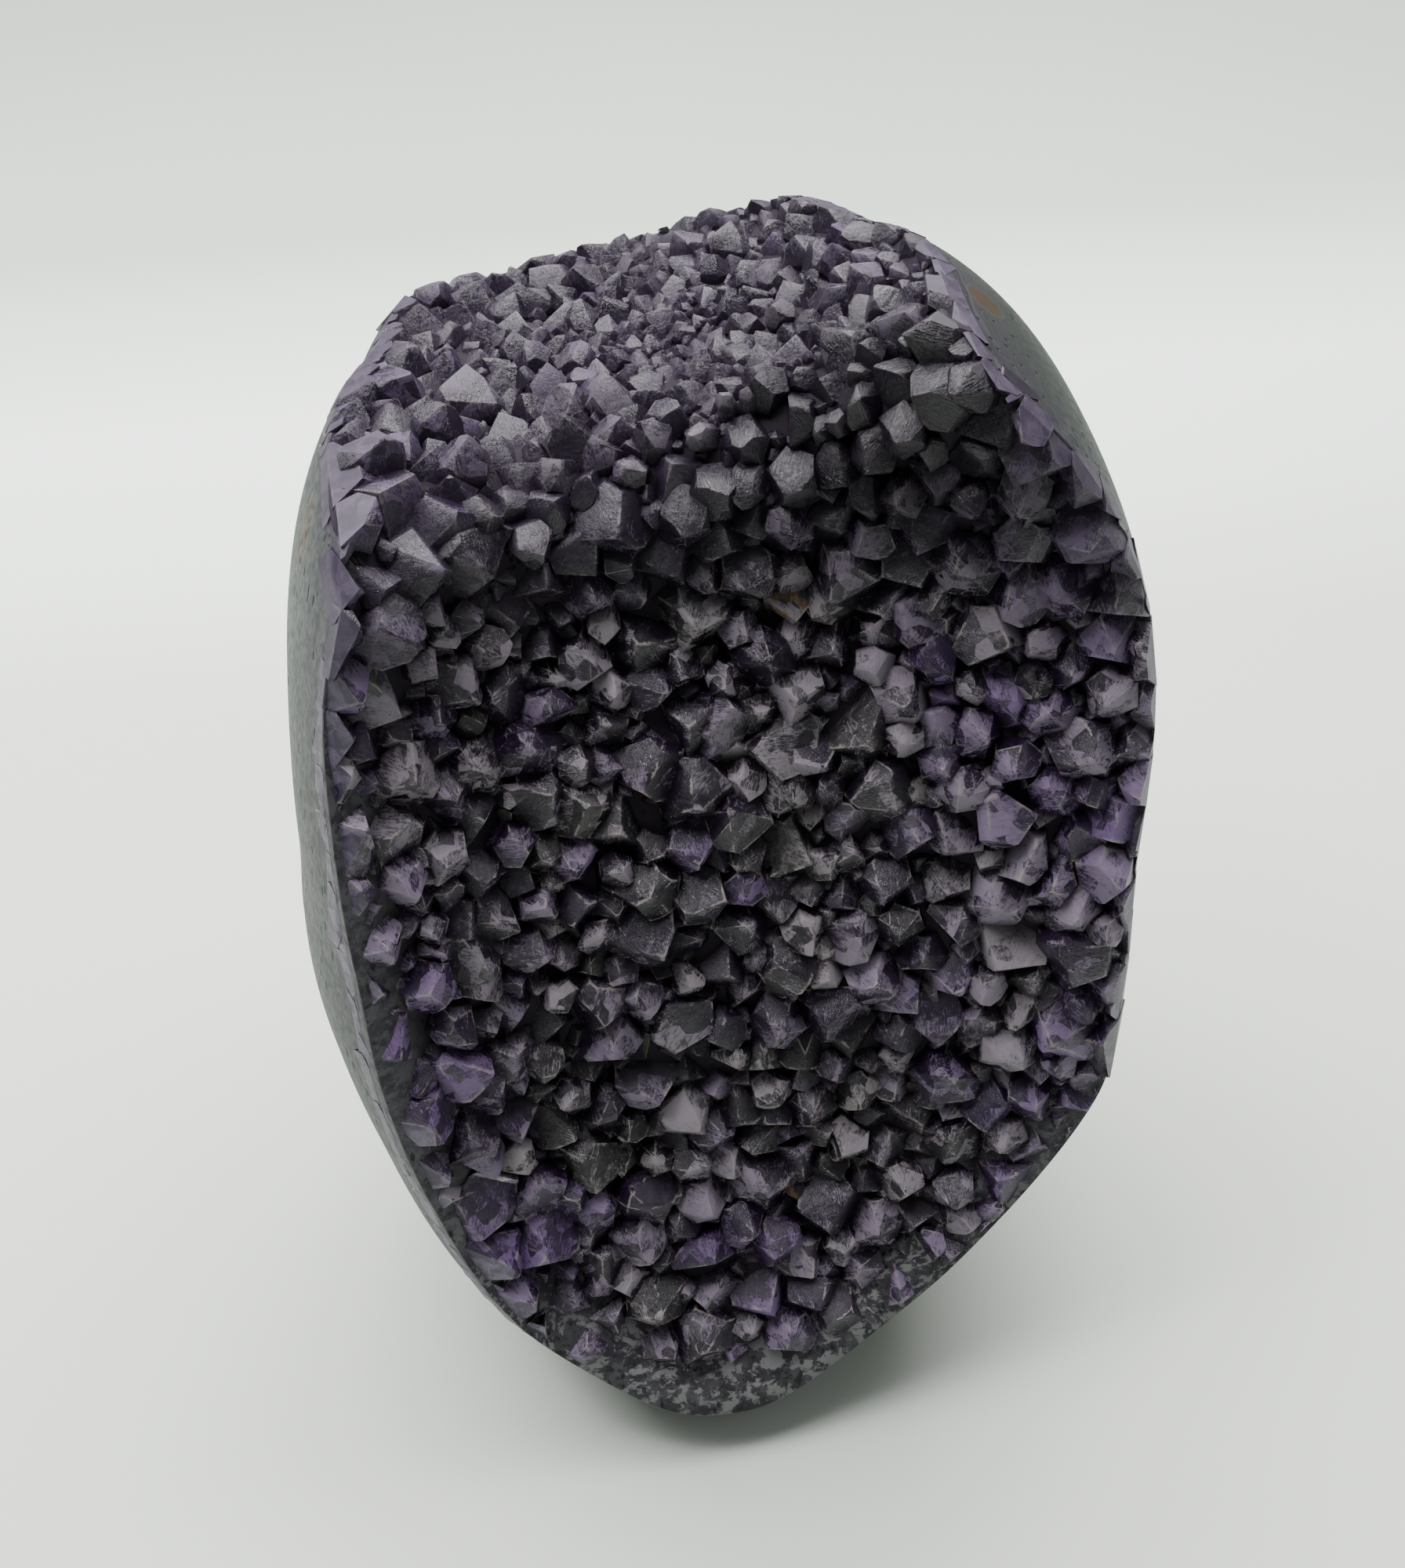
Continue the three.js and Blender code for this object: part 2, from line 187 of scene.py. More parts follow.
def tooth_relief(p):
    """How far the surface steps back for the grooves of the teeth, or forward for their crowns."""
    arc = np.abs(np.arctan2(np.abs(p[:, 0]), p[:, 1] - ARCH_Y)) * ARCH_RADIUS
    edges = np.concatenate([[0.0], np.cumsum(TOOTH_WIDTHS)])
    tooth = np.clip(np.searchsorted(edges, arc, side="right") - 1, 0, len(TOOTH_WIDTHS) - 1)
    share = np.clip((arc - edges[tooth]) / (edges[tooth + 1] - edges[tooth]), 0, 1)
    from_groove = np.abs(arc[:, None] - edges[None, :]).min(1)
    above_bite = p[:, 2] - BITE_HEIGHT
    tall = np.where(above_bite > 0, UPPER_CROWN, LOWER_CROWN)
    gum = tall - 1.8 * (2 * share - 1) ** 2
    crown = smooth_step(gum - np.abs(above_bite), -0.7, 0.7)
    root = 0.35 * np.clip(1 - (np.abs(above_bite) - gum) / 9, 0, 1)
    strength = np.maximum(crown, root)
    groove = 1.5 * np.exp(-(from_groove / 0.62) ** 2) * strength
    bite = 1.7 * np.exp(-(above_bite / 0.8) ** 2)
    bulge = 0.6 * np.sin(np.pi * share) ** 0.7 * strength
    end = np.clip((edges[-1] - arc) / 3, 0, 1) * np.clip((p[:, 1] - ARCH_Y) / 4, 0, 1)
    return (groove + bite - bulge - 0.8 * crown) * end


def outside_skull(p):
    outside = outside_block(p) + tooth_relief(p)
    outside = soft_max(outside, -outside_hole(p, **SOCKET), SOCKET_EDGE)
    nose = soft_min(outside_hole(p, **NOSE_TOP), outside_hole(p, **NOSE_LOW), 3)
    outside = soft_max(outside, -nose, NOSE_EDGE)
    return np.maximum(outside, -p[:, 2])


HALVINGS = 14  # of the last step, to find where a field is crossed


def first_crossing(outside, heart, directions, start=18.0, farthest=150.0, step=2.0):
    """The points where lines from the heart first leave a field's inside."""
    heart = np.asarray(heart, float)
    low = np.full(len(directions), start)
    found = np.zeros(len(directions), bool)
    reach = start
    while reach < farthest and not found.all():
        todo = np.nonzero(~found)[0]
        hit = todo[outside(heart + directions[todo] * (reach + step)) >= 0]
        low[hit], found[hit] = reach, True
        reach += step
    high = low + step
    for _ in range(HALVINGS):
        middle = (low + high) / 2
        inside = outside(heart + directions * middle[:, None]) < 0
        low, high = np.where(inside, middle, low), np.where(inside, high, middle)
    return heart + directions * low[:, None]


RIM_FILL = 2.8  # how far the solid quartz at the rim stands above the wall, on the left and at the foot


def rim_fill(p):
    """Share of the solid quartz that joins the outermost crystals: 1 at the rim, 0 about 10 mm inside it."""
    low = smooth_step(-p[:, 2], -50, -10)
    side = np.maximum(0.05, np.maximum(smooth_step(-p[:, 0], 5, 35), smooth_step(-p[:, 2], -85, -25)))
    rim = smooth_step(outside_block(p), -7.0 - 4.0 * low, -1.0 - 1.5 * low)
    return rim * side * (1 - 0.92 * smooth_step(p[:, 2], 112, 138))


def outside_rimmed_wall(p):
    return outside_wall(p) - RIM_FILL * rim_fill(p)


def turned(polar, turn):
    """Unit vectors at an angle from +Y and a turn round it."""
    return np.stack([np.sin(polar) * np.cos(turn), np.cos(polar), np.sin(polar) * np.sin(turn)], -1)


AROUND = 380
FACE_RINGS = 215
WALL_RINGS = 34
BACK_HEART = np.array([0.0, 45.0, 80.0])
CALM_REACH = 24  # steps of the rings to each side over which their bends are evened out away from the rim


def rim_of_rock(turn):
    """How far from +Y the crystals' rim lies at each turn round it, and the rim's points."""
    low, high = np.full(AROUND, math.radians(30)), np.full(AROUND, math.radians(172))
    for _ in range(18):
        middle = (low + high) / 2
        on_rock = outside_rimmed_wall(first_crossing(outside_skull, FACE_HEART, turned(middle, turn))) < 0
        low, high = np.where(on_rock, middle, low), np.where(on_rock, high, middle)
    return low, first_crossing(outside_skull, FACE_HEART, turned(low, turn))


def stone_surface():
    """Vertices and faces of the stone: rings from the face to the crystals' rim, then over the wall."""
    turn = np.linspace(0, 2 * np.pi, AROUND, endpoint=False)
    _, rim = rim_of_rock(turn)
    stretch = np.linalg.norm(np.roll(rim, -1, axis=0) - rim, axis=1)
    along_rim = np.concatenate([[0], np.cumsum(stretch + 0.7 * stretch.mean())])
    even = np.linspace(0, along_rim[-1], AROUND, endpoint=False)
    turn = np.interp(even, along_rim, np.append(turn, 2 * np.pi))
    low, rim = rim_of_rock(turn)
    calm = np.mean([np.roll(low, k) for k in range(-CALM_REACH, CALM_REACH + 1)], axis=0)
    share = (np.arange(1, FACE_RINGS) / FACE_RINGS) ** 1.15
    polar = share[:, None] * (calm + (low - calm) * share[:, None] ** 4)
    front = first_crossing(outside_skull, FACE_HEART, turned(polar, turn[None, :] + 0 * polar).reshape(-1, 3))
    from_back = rim - BACK_HEART
    back_polar = np.arccos(from_back[:, 1] / np.linalg.norm(from_back, axis=1))
    share = np.arange(1, WALL_RINGS) / WALL_RINGS
    polar = back_polar[None, :] + (np.pi - back_polar[None, :]) * share[:, None]
    directions = turned(polar, turn[None, :] + 0 * polar).reshape(-1, 3)
    back = first_crossing(outside_rimmed_wall, BACK_HEART, directions)
    poles = [first_crossing(outside_skull, FACE_HEART, np.array([[0.0, 1.0, 0.0]])),
             first_crossing(outside_wall, BACK_HEART, np.array([[0.0, -1.0, 0.0]]))]
    points = np.concatenate([poles[0], front, rim, back, poles[1]])
    rings = FACE_RINGS - 1 + 1 + WALL_RINGS - 1
    ring = np.arange(rings)[:, None] * AROUND + 1
    here = np.arange(AROUND)[None, :]
    there = (here + 1) % AROUND
    quads = np.stack([ring[:-1] + here, ring[:-1] + there, ring[1:] + there, ring[1:] + here], -1)
    last = len(points) - 1
    ends = [(0, 1 + (j + 1) % AROUND, 1 + j) for j in range(AROUND)]
    ends += [(last, int(ring[-1, 0]) + j, int(ring[-1, 0]) + (j + 1) % AROUND) for j in range(AROUND)]
    return points, quads.reshape(-1, 4).tolist() + ends


def mesh_of(name, points, faces):
    """A mesh in metres, with the skull's box put over the origin."""
    mesh = bpy.data.meshes.new(name)
    mesh.from_pydata(((points - FOOTPRINT_MIDDLE) / 1000).tolist(), [], faces)
    mesh.update()
    return mesh


def add_piece(name, mesh):
    piece = bpy.data.objects.new(name, mesh)
    bpy.context.scene.collection.objects.link(piece)
    return piece


def write_attribute(mesh, name, domain, values):
    attribute = mesh.attributes.new(name, "FLOAT", domain)
    attribute.data.foreach_set("value", np.asarray(values, np.float32).ravel())


stone_points, stone_faces = stone_surface()
stone_mesh = mesh_of("polished_stone", stone_points, stone_faces)
stone_mesh.shade_smooth()
write_attribute(stone_mesh, "under_wall", "POINT", -outside_wall(stone_points))
inside_rim = np.arange(len(stone_points)) > FACE_RINGS * AROUND
# Where the wall is bare of rim quartz; the stone's material paints it near black, as painted shade in the
# gaps between the crystals
bare_wall = inside_rim * (1 - smooth_step(rim_fill(stone_points), 0.05, 0.35))
write_attribute(stone_mesh, "bare_wall", "POINT", bare_wall)
stone = add_piece("polished_stone_body", stone_mesh)


class Graph:
    """Short hand for a material's nodes: each call adds one node and returns its output."""

    def __init__(self, name):
        self.material = bpy.data.materials.new(name)
        self.material.use_nodes = True
        self.nodes = self.material.node_tree.nodes
        self.links = self.material.node_tree.links
        self.shader = self.nodes["Principled BSDF"]

    def put(self, socket, value):
        if isinstance(value, bpy.types.NodeSocket):
            self.links.new(value, socket)
        elif isinstance(value, (tuple, list)) and len(value) == 3 and socket.type == "RGBA":
            socket.default_value = (*value, 1)
        else:
            socket.default_value = value

    def node(self, kind, output=0, settings=None, **inputs):
        node = self.nodes.new(kind)
        for key, value in (settings or {}).items():
            setattr(node, key, value)
        for key, value in inputs.items():
            socket = node.inputs[int(key[1:])] if key[0] == "_" else node.inputs[key.replace("_", " ")]
            self.put(socket, value)
        return node.outputs[output]

    def math(self, operation, a, b=0.0, clamp=False):
        return self.node("ShaderNodeMath", 0, dict(operation=operation, use_clamp=clamp), _0=a, _1=b)

    def mix(self, share, a, b):
        return self.node("ShaderNodeMix", 2, dict(data_type="RGBA"), _0=share, _6=a, _7=b)

    def blend(self, share, a, b):
        return self.node("ShaderNodeMix", 0, dict(data_type="FLOAT"), _0=share, _2=a, _3=b)

    def ramp(self, value, low, high, to_low=0.0, to_high=1.0):
        return self.node("ShaderNodeMapRange", 0, dict(interpolation_type="SMOOTHSTEP"),
                         _0=value, _1=low, _2=high, _3=to_low, _4=to_high)

    def attribute(self, name):
        return self.node("ShaderNodeAttribute", 2, dict(attribute_name=name))

    def place(self, scale=(1, 1, 1), turn=(0, 0, 0), shift=(0, 0, 0)):
        where = self.node("ShaderNodeTexCoord", 3)
        return self.node("ShaderNodeMapping", 0, Vector=where, Location=shift, Rotation=turn, Scale=scale)

    def noise(self, where, scale, detail=3.0, roughness=0.5, distortion=0.0):
        return self.node("ShaderNodeTexNoise", 0, Vector=where, Scale=scale, Detail=detail,
                         Roughness=roughness, Distortion=distortion)

    def bump(self, height, distance, strength=1.0):
        node = self.nodes.new("ShaderNodeBump")
        self.put(node.inputs["Height"], height)
        self.put(node.inputs["Distance"], distance)
        self.put(node.inputs["Strength"], strength)
        return node.outputs[0]

    def colours(self, value, stops):
        node = self.nodes.new("ShaderNodeValToRGB")
        self.put(node.inputs[0], value)
        ramp = node.color_ramp
        while len(ramp.elements) < len(stops):
            ramp.elements.new(0.5)
        for element, (at, colour) in zip(ramp.elements, stops):
            element.position = at
            element.color = (*colour, 1)
        return node.outputs[0]


BROWN_PATCHES = [  # x, y, z and reach, in metres
    (-0.0502, -0.0050, 0.1385, 0.0055), (0.0335, -0.0005, 0.1606, 0.0042),
]
BROWN_PATCH_SQUASH = 0.6  # how much shorter the two count up and down
BAND_STRETCH = 60.0  # millimetres under the wall over which the layers' colours run


def polished_stone_material():
    g = Graph("polished_agate")
    where = g.place()
    depth = g.attribute("under_wall")
    wander = g.math("SUBTRACT", g.noise(where, 55, 3), 0.5)
    depth = g.math("ADD", depth, g.math("MULTIPLY", wander, 9.0))
    fine = g.math("SUBTRACT", g.noise(where, 400, 4), 0.5)
    band = g.math("ADD", depth, g.math("MULTIPLY", fine, 1.0))
    quartz_cloud = g.ramp(g.noise(where, 330, 4, 0.65), 0.40, 0.66)
    quartz = g.mix(quartz_cloud, (0.030, 0.025, 0.040), (0.105, 0.098, 0.118))
    layers = g.colours(g.math("DIVIDE", band, BAND_STRETCH), [
        (0.00, (0.040, 0.034, 0.052)), (0.06, (0.042, 0.040, 0.052)), (0.13, (0.042, 0.048, 0.047)),
        (0.22, (0.032, 0.041, 0.037)), (0.34, (0.053, 0.062, 0.057)), (0.45, (0.037, 0.045, 0.040)),
        (0.62, (0.055, 0.061, 0.052)), (0.80, (0.040, 0.043, 0.037)), (1.00, (0.048, 0.050, 0.042))])
    stripes = g.node("ShaderNodeTexWave", 1, dict(wave_type="BANDS", bands_direction="X"),
                     Vector=g.node("ShaderNodeCombineXYZ", 0, _0=band), Scale=0.24, Distortion=0.0)
    layers = g.mix(g.math("MULTIPLY", g.ramp(stripes, 0.55, 0.95), 0.16), layers, (0.085, 0.097, 0.090))
    layers = g.mix(g.ramp(depth, -0.8, 1.6, 1.0, 0.0), layers, quartz)
    patch = g.noise(g.place(scale=(1, 1, 0.75)), 26, 2, 0.45)
    squashed = g.place(scale=(1, 1, BROWN_PATCH_SQUASH))
    for x, y, z, reach in BROWN_PATCHES:
        gap = g.node("ShaderNodeVectorMath", 1, dict(operation="DISTANCE"), _0=squashed,
                     _1=(x, y, z * BROWN_PATCH_SQUASH))
        near = g.ramp(gap, 0.3 * reach, 1.4 * reach, 0.80, 0.40)
        patch = g.math("MAXIMUM", patch, g.math("ADD", near, g.math("MULTIPLY", wander, 0.35)))
    patch = g.math("ADD", patch, g.ramp(depth, 8, 30, -0.12, 0.05))
    brown = g.ramp(patch, 0.60, 0.615)
    rust = g.mix(g.noise(where, 300, 5, 0.7), (0.095, 0.055, 0.023), (0.048, 0.037, 0.02))
    halo = g.ramp(patch, 0.555, 0.60)
    colour = g.mix(g.math("MULTIPLY", halo, 0.7), layers, (0.075, 0.097, 0.085))
    colour = g.mix(brown, colour, rust)
    axes = g.node("ShaderNodeSeparateXYZ", 0, _0=where).node
    chip_place = [g.math("MULTIPLY", part, often)
                  for part, often in ((band, 1.4), (axes.outputs[0], 300.0), (axes.outputs[2], 520.0))]
    beside_rim = g.node("ShaderNodeCombineXYZ", 0, _0=chip_place[0], _1=chip_place[1], _2=chip_place[2])
    chips = g.noise(beside_rim, 1.0, 4, 0.7)
    at_rim = g.ramp(g.attribute("under_wall"), 0.0, 7.5, 1.0, 0.0)
    chip_tone = g.mix(g.ramp(axes.outputs[2], 0.025, 0.060), (0.32, 0.32, 0.33), (0.10, 0.10, 0.108))
    colour = g.mix(g.math("MULTIPLY", g.ramp(chips, 0.50, 0.58), at_rim), colour, chip_tone)
    dark_chip = g.math("MULTIPLY", g.ramp(chips, 0.34, 0.42, 1.0, 0.0), at_rim)
    colour = g.mix(dark_chip, colour, (0.008, 0.008, 0.009))
    pits = g.node("ShaderNodeTexVoronoi", 0, dict(feature="F1"), Vector=g.place(scale=(1, 1, 0.36)),
                  Scale=680, Randomness=1.0)
    scarce = g.ramp(g.noise(g.place(scale=(1, 1, 0.6)), 110, 2), 0.44, 0.56)
    pit = g.math("MULTIPLY", g.ramp(pits, 0.13, 0.24, 1.0, 0.0), scarce)
    colour = g.mix(g.math("MULTIPLY", pit, 0.85), colour, (0.012, 0.014, 0.014))
    colour = g.mix(0.55, colour, (0.008, 0.009, 0.008))
    # Painted shade: the bare wall between the crystals' feet is near black, standing in for the shade in the
    # gaps between the crystals; it is also rougher
    bare = g.attribute("bare_wall")
    colour = g.mix(bare, colour, (0.012, 0.008, 0.014))
    g.put(g.shader.inputs["Base Color"], colour)
    rough = g.blend(pit, g.ramp(g.noise(where, 900, 4), 0.3, 0.7, 0.48, 0.62), 0.7)
    g.put(g.shader.inputs["Roughness"], g.blend(bare, rough, 0.8))
    g.put(g.shader.inputs["IOR"], 1.54)
    g.put(g.shader.inputs["Specular IOR Level"], 0.18)
    ripple = g.noise(where, 60, 2)
    height = g.math("SUBTRACT", g.math("MULTIPLY", ripple, 0.6), pit)
    g.put(g.shader.inputs["Normal"], g.bump(height, 0.0003))
    return g.material


stone_mesh.materials.append(polished_stone_material())
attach(stone, "root")
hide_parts("polished_stone")


# The amethyst crystals
# The druse: quartz points side by side all over the hollow and the crown, each a short six-sided prism closed
# by slanting faces. They grew where they stand, and those at the rim are ground flush with the polish.
CRYSTAL_SPACING = 5.4
CRYSTAL_SHARES = [  # a crystal's room as a share of the spacing, and how many of them at most
    (1.2, 120), (1.0, 900), (0.78, 1200), (0.55, 2000), (0.38, 2000),
]
CRYSTAL_KINDS = 18
WALL_TRIES = 120000  # directions all round from which places on the wall are found
RANDOM_LEAN = 0.24  # sideways spread of the crystals' axes, for 1 along the wall's normal
FOOT_DEPTH = 1.6  # how far below the wall the crystals' feet end
TIP_ANGLE = math.radians(51.8)  # between a slanting face's normal and the crystal's axis
LARGE_POINTS = [  # x, y, z of the foot, width across, how frosted and how violet
    (-38, 21.5, 145, 7.9, 0.55, 0.8), (-39.5, -3.5, 145, 10.1, 0.62, 0.75), (-30.5, 6, 143.5, 5.9, 0.5, 0.5),
    (-29, 20.5, 143.5, 8.4, 0.52, 0.45), (-33.5, 12.5, 144, 5.3, 0.1, 0.75),
    (-11.5, 15, 145, 6.1, 0.8, 0.25), (-18.5, 22, 143.5, 5.5, 0.62, 0.55), (-6.5, 6.5, 144.5, 4.8, 0.7, 0.2),
    (-1, 5.5, 145.5, 2.7, 0.95, 0.1), (-13.5, 6, 143, 4.8, 0.45, 0.4), (-5.5, 9, 146, 4.8, 0, 1),
    (-10.5, 4, 142.5, 4, 0.35, 0.2), (-20, 4.5, 142.5, 4.8, 0.5, 0.2), (-29.5, -0.5, 141, 4.9, 0.02, 0.1),
    (-23.5, -1, 137, 5.2, 0.35, 0.1), (24, 5, 159, 5.8, 0.62, 0.5), (18, 8, 155, 5.9, 0.58, 0.2),
    (22.5, 17, 158, 5, 0.6, 0.55), (17, 19.5, 154.5, 4.5, 0.55, 0.65), (11.5, 21.5, 152, 3.6, 0.85, 0.15),
    (7.5, 8, 150, 5.3, 0.4, 0.5), (2, 6.5, 147.5, 2.3, 0.95, 0.1), (5, 6, 148, 1.9, 1, 0.1),
    (15, 1, 150.5, 3, 0.75, 0.1), (19, 2, 154.5, 2.6, 0.85, 0.1), (22.5, -4, 151, 5.6, 0.72, 0.2),
    (25.5, -5, 156.5, 7.7, 0.02, 1), (29, -8, 158.5, 5.4, 0.12, 0.95), (33, -11, 159, 1.2, 1.3, 0),
    (35.5, -8.5, 147, 6.5, 0.58, 0.2), (31, -5.5, 142, 4.6, 0.42, 0.3), (22.5, -3, 142, 5.7, 0.45, 0.1),
    (20, -1.5, 134.5, 6, 0.42, 0.5), (14.5, -0.5, 145.5, 5.2, 0.05, 0.1), (4.5, 1.5, 142.5, 4.3, 0.5, 0.1),
    (18.5, -2, 147.5, 5.6, 0.12, 0.15), (45.5, -12, 139.5, 8, 0.5, 0.85), (36.5, -11.5, 155, 5, 0.35, 0.5),
    (8, 0.5, 136.5, 5.8, 0.3, 0.4), (-48, -16.5, 131, 7.3, 0.55, 0.85), (-42.5, -16, 115.5, 8.4, 0.52, 0.15),
    (-33.5, -12.5, 111.5, 7.3, 0.4, 0.15), (-49.5, -19, 119, 5.6, 0.85, 0.15),
    (-31.5, -5.5, 126.5, 5.8, 0.62, 0.2), (-36.5, -8.5, 132, 3.8, 0.5, 0.1),
    (-39.5, -11, 128.5, 4.7, 0.55, 0.2), (-23, -7, 115, 6.9, 0.42, 0.6), (-38, -11.5, 120, 5.9, 0.22, 0.6),
    (-30, -15, 101, 6, 0.3, 0.6), (-38, -18, 103, 6.4, 0.62, 0.3), (-43.5, -21.5, 103.5, 5.8, 0.5, 0.5),
    (-21, -14.5, 96.5, 6.1, 0.28, 0.65), (-16, -15, 94.5, 4.3, 0.52, 0.3),
    (-27.5, -17.5, 92, 5.3, 0.48, 0.45), (-18.5, -18, 85.5, 5.7, 0.52, 0.2),
    (-28.5, -19.5, 85.5, 5.7, 0.5, 0.4), (-47.5, -25, 97, 5.8, 0.6, 0.6), (-41.5, -22.5, 95, 4, 0.62, 0.3),
    (-49.5, -24, 104, 4.8, 0.4, 0.6), (-6, -14, 95.5, 7.7, 0.32, 0.75), (-15, -4.5, 117, 5, 0.58, 0.2),
    (-14.5, -1, 126, 3.9, 0.75, 0.1), (-5.5, -3, 118, 4.5, 0.4, 0.2), (-30, -12.5, 108, 4, 0.42, 0.1),
    (-20, -10, 108.5, 5, 0.25, 0.1), (9.5, -5.5, 114, 8.3, 0.75, 0.2), (12, -10, 106.5, 5.6, 0.65, 0.3),
    (19, -5, 117, 5.2, 0.72, 0.3), (28.5, -6.5, 118.5, 6, 0.05, 0.9), (37.5, -7, 127, 7.4, 0.6, 0.5),
    (41, -9.5, 121.5, 5, 0.62, 0.4), (49, -14.5, 117, 6, 0.88, 0.3), (39.5, -10.5, 117, 4.5, 0.18, 0.1),
    (32, -12, 109, 6.1, 0.4, 0.6), (37.5, -15, 106, 5.9, 0.32, 0.6), (42.5, -17, 103, 6.3, 0.35, 0.8),
    (24, -15, 96.5, 8.3, 0.5, 0.55), (38, -19, 93, 7.9, 0.68, 0.4), (12, -15.5, 91, 4.4, 0.7, 0.1),
    (1.5, -15.5, 89.5, 5.7, 0.18, 0.85), (8.5, -18.5, 82.5, 5.8, 0.65, 0.1), (-0.5, -4, 116, 4.5, 0.66, 0.2),
    (8, -0.5, 124, 6, 0.4, 0.1), (2, -1.5, 121.5, 5.5, 0.28, 0.3), (23, -10.5, 108.5, 4.6, 0.72, 0.1),
    (49.5, -24.5, 83.5, 4.2, 0.75, 0.3), (2.5, -10.5, 104, 4.6, 0.42, 0.1), (31.5, -9, 115, 4.5, 0.52, 0.2),
    (27.5, -12.5, 105.5, 5.6, 0.25, 0.6), (-35, -23, 83, 6.3, 0.68, 0.2), (-38.5, -27, 73, 9.5, 0.42, 0.9),
    (-45.5, -28, 82, 8, 0.35, 0.95), (-24, -21, 78, 4.7, 0.62, 0.1), (-28, -23.5, 69, 5.8, 0.18, 0.1),
    (-19, -22, 70, 7.7, 0.52, 0.5), (-32.5, -27, 61, 8.3, 0.55, 0.7), (-33.5, -29, 54, 4.5, 0.62, 0),
    (-24, -24.5, 62.5, 5.4, 0.45, 0.2), (-16.5, -25.5, 55, 4.8, 0.15, 0.05),
    (-13.5, -27, 48.5, 5.3, 0.5, 0.05), (-8, -24.5, 55.5, 8.3, 0.52, 0.15),
    (-31, -32.5, 40.5, 11.6, 0.5, 0.95), (-16.5, -32, 36.5, 8.4, 0.52, 0.4), (-6.5, -29, 42, 6.7, 0.78, 0.4),
    (-7, -19.5, 77.5, 4.2, 0.52, 0.1), (-14, -20.5, 76, 5.3, 0.42, 0.4), (-44.5, -32.5, 60, 6.3, 0.15, 0.6),
    (11.5, -20.5, 76, 4.7, 0.9, 0.1), (18.5, -21, 74.5, 7.7, 0.62, 0.5), (-1.5, -22.5, 63.5, 5.4, 0.22, 0),
    (22.5, -24.5, 61.5, 4.6, 0.95, 0.1), (37.5, -26.5, 63.5, 8.3, 0.88, 0.2),
    (40.5, -29, 54.5, 6.7, 0.28, 0.85), (34.5, -23.5, 74, 4.8, 0.52, 0.3), (39.5, -24.5, 75, 4.8, 0.18, 0.1),
    (47, -26.5, 71.5, 4.8, 0.4, 0.7), (45, -28.5, 61, 4.4, 0.6, 0.6), (4, -24, 57.5, 5, 0.52, 0.1),
    (15, -27.5, 48, 6.7, 0.62, 0.1), (38, -30.5, 48.5, 5.2, 0.85, 0.2), (-3, -27, 46.5, 6.1, 0.7, 0.3),
    (30, -32, 39.5, 5.7, 0.28, 0.3), (22.5, -30.5, 41.5, 5.7, 0.5, 0.1), (3, -32.5, 33, 7.3, 0.18, 0.95),
    (-6.5, -33, 32.5, 9.1, 0.12, 1), (0.5, -35.5, 26.5, 8.6, 0.5, 0.85), (20.5, -37, 25.5, 6.9, 0.45, 0.65),
    (31.5, -34, 36, 5.1, 0.7, 0.3), (26.5, -35, 31.5, 5.7, 0.5, 0.6), (13.5, -34, 31.5, 4.8, 0.4, 0.2),
    (10, -26.5, 49.5, 4.5, 0.15, 0.1),
]
TONES = [  # x, y, z and reach of a patch, then how much more frosted and more violet its crystals are; a strongly negative frost makes them clear and near black, as painted shade in the deep pockets of the hollow and under the crown's right lip
    (-4, 27, 147, 11, 0.32, 0.3), (-26, 35, 143, 11, 0.12, 0.05), (4, 46, 149, 13, 0.22, 0.1),
    (-12, 20, 145, 7, 0.15, 0.2), (19, -3, 149, 15, -0.85, 0.05), (9, 4, 149, 5, -0.7, 0),
    (28, -7, 154, 5, -0.9, 0), (25, -4, 157, 8, -0.4, 0.4), (-30, -2, 141, 8, -0.22, -0.1),
    (-4, 1, 137, 9, -0.3, 0), (-7, -6, 114, 6, -0.35, 0), (2, -6, 113, 5, -0.3, 0),
    (-20, -11, 106, 9, -0.15, 0), (-35, -19, 96, 7, -0.35, 0), (-15, -16, 91, 6, -0.2, 0),
    (-7, -17, 87, 6, -0.3, 0), (-22, -25, 57, 7, -0.4, 0), (-5, -22, 68, 6, -0.2, 0),
    (15, -22, 69, 10, -0.3, 0), (-10, -30, 39, 6, -0.2, 0.1), (12, -31, 38, 7, -0.1, 0),
    (34, -6, 129, 13, 0.30, 0.05), (32, -12, 109, 9, 0.05, 0.3), (46, -20, 99, 8, 0.05, 0.2),
    (-38, -10, 127, 9, 0.15, -0.05), (18, -21, 75, 7, 0.15, 0.1), (-46, -12, 145, 8, 0.2, 0.35),
    (-48, -17, 130, 5, 0.15, 0.3), (45, -12, 142, 7, 0.15, 0.4), (-39, -28, 70, 11, 0, 0.4),
    (-31, -34, 37, 12, 0.1, 0.4), (0, -34, 30, 10, 0, 0.4), (39, -28, 56, 8, 0.1, 0.3),
    (-48, -26, 92, 9, 0.05, 0.3), (5, -16, 85, 16, -0.16, 0), (36, -14, 105, 16, 0.40, 0.1),
    (36, -24, 80, 14, 0.34, 0.05), (-40, 0, 141, 12, 0.30, 0.15), (0, -8, 104, 12, 0.12, 0),
]
IRON_STAINS = [(-10, 18, 145), (10, -1, 123), (-1, -17, 87), (-13, -38, 22), (6, -28, 43)]
rng = np.random.default_rng(7)


def slanting(slope, turn):
    """Unit vector at a slope from the crystal's axis and a turn round it."""
    return Vector((math.sin(slope) * math.cos(turn), math.sin(slope) * math.sin(turn), math.cos(slope)))


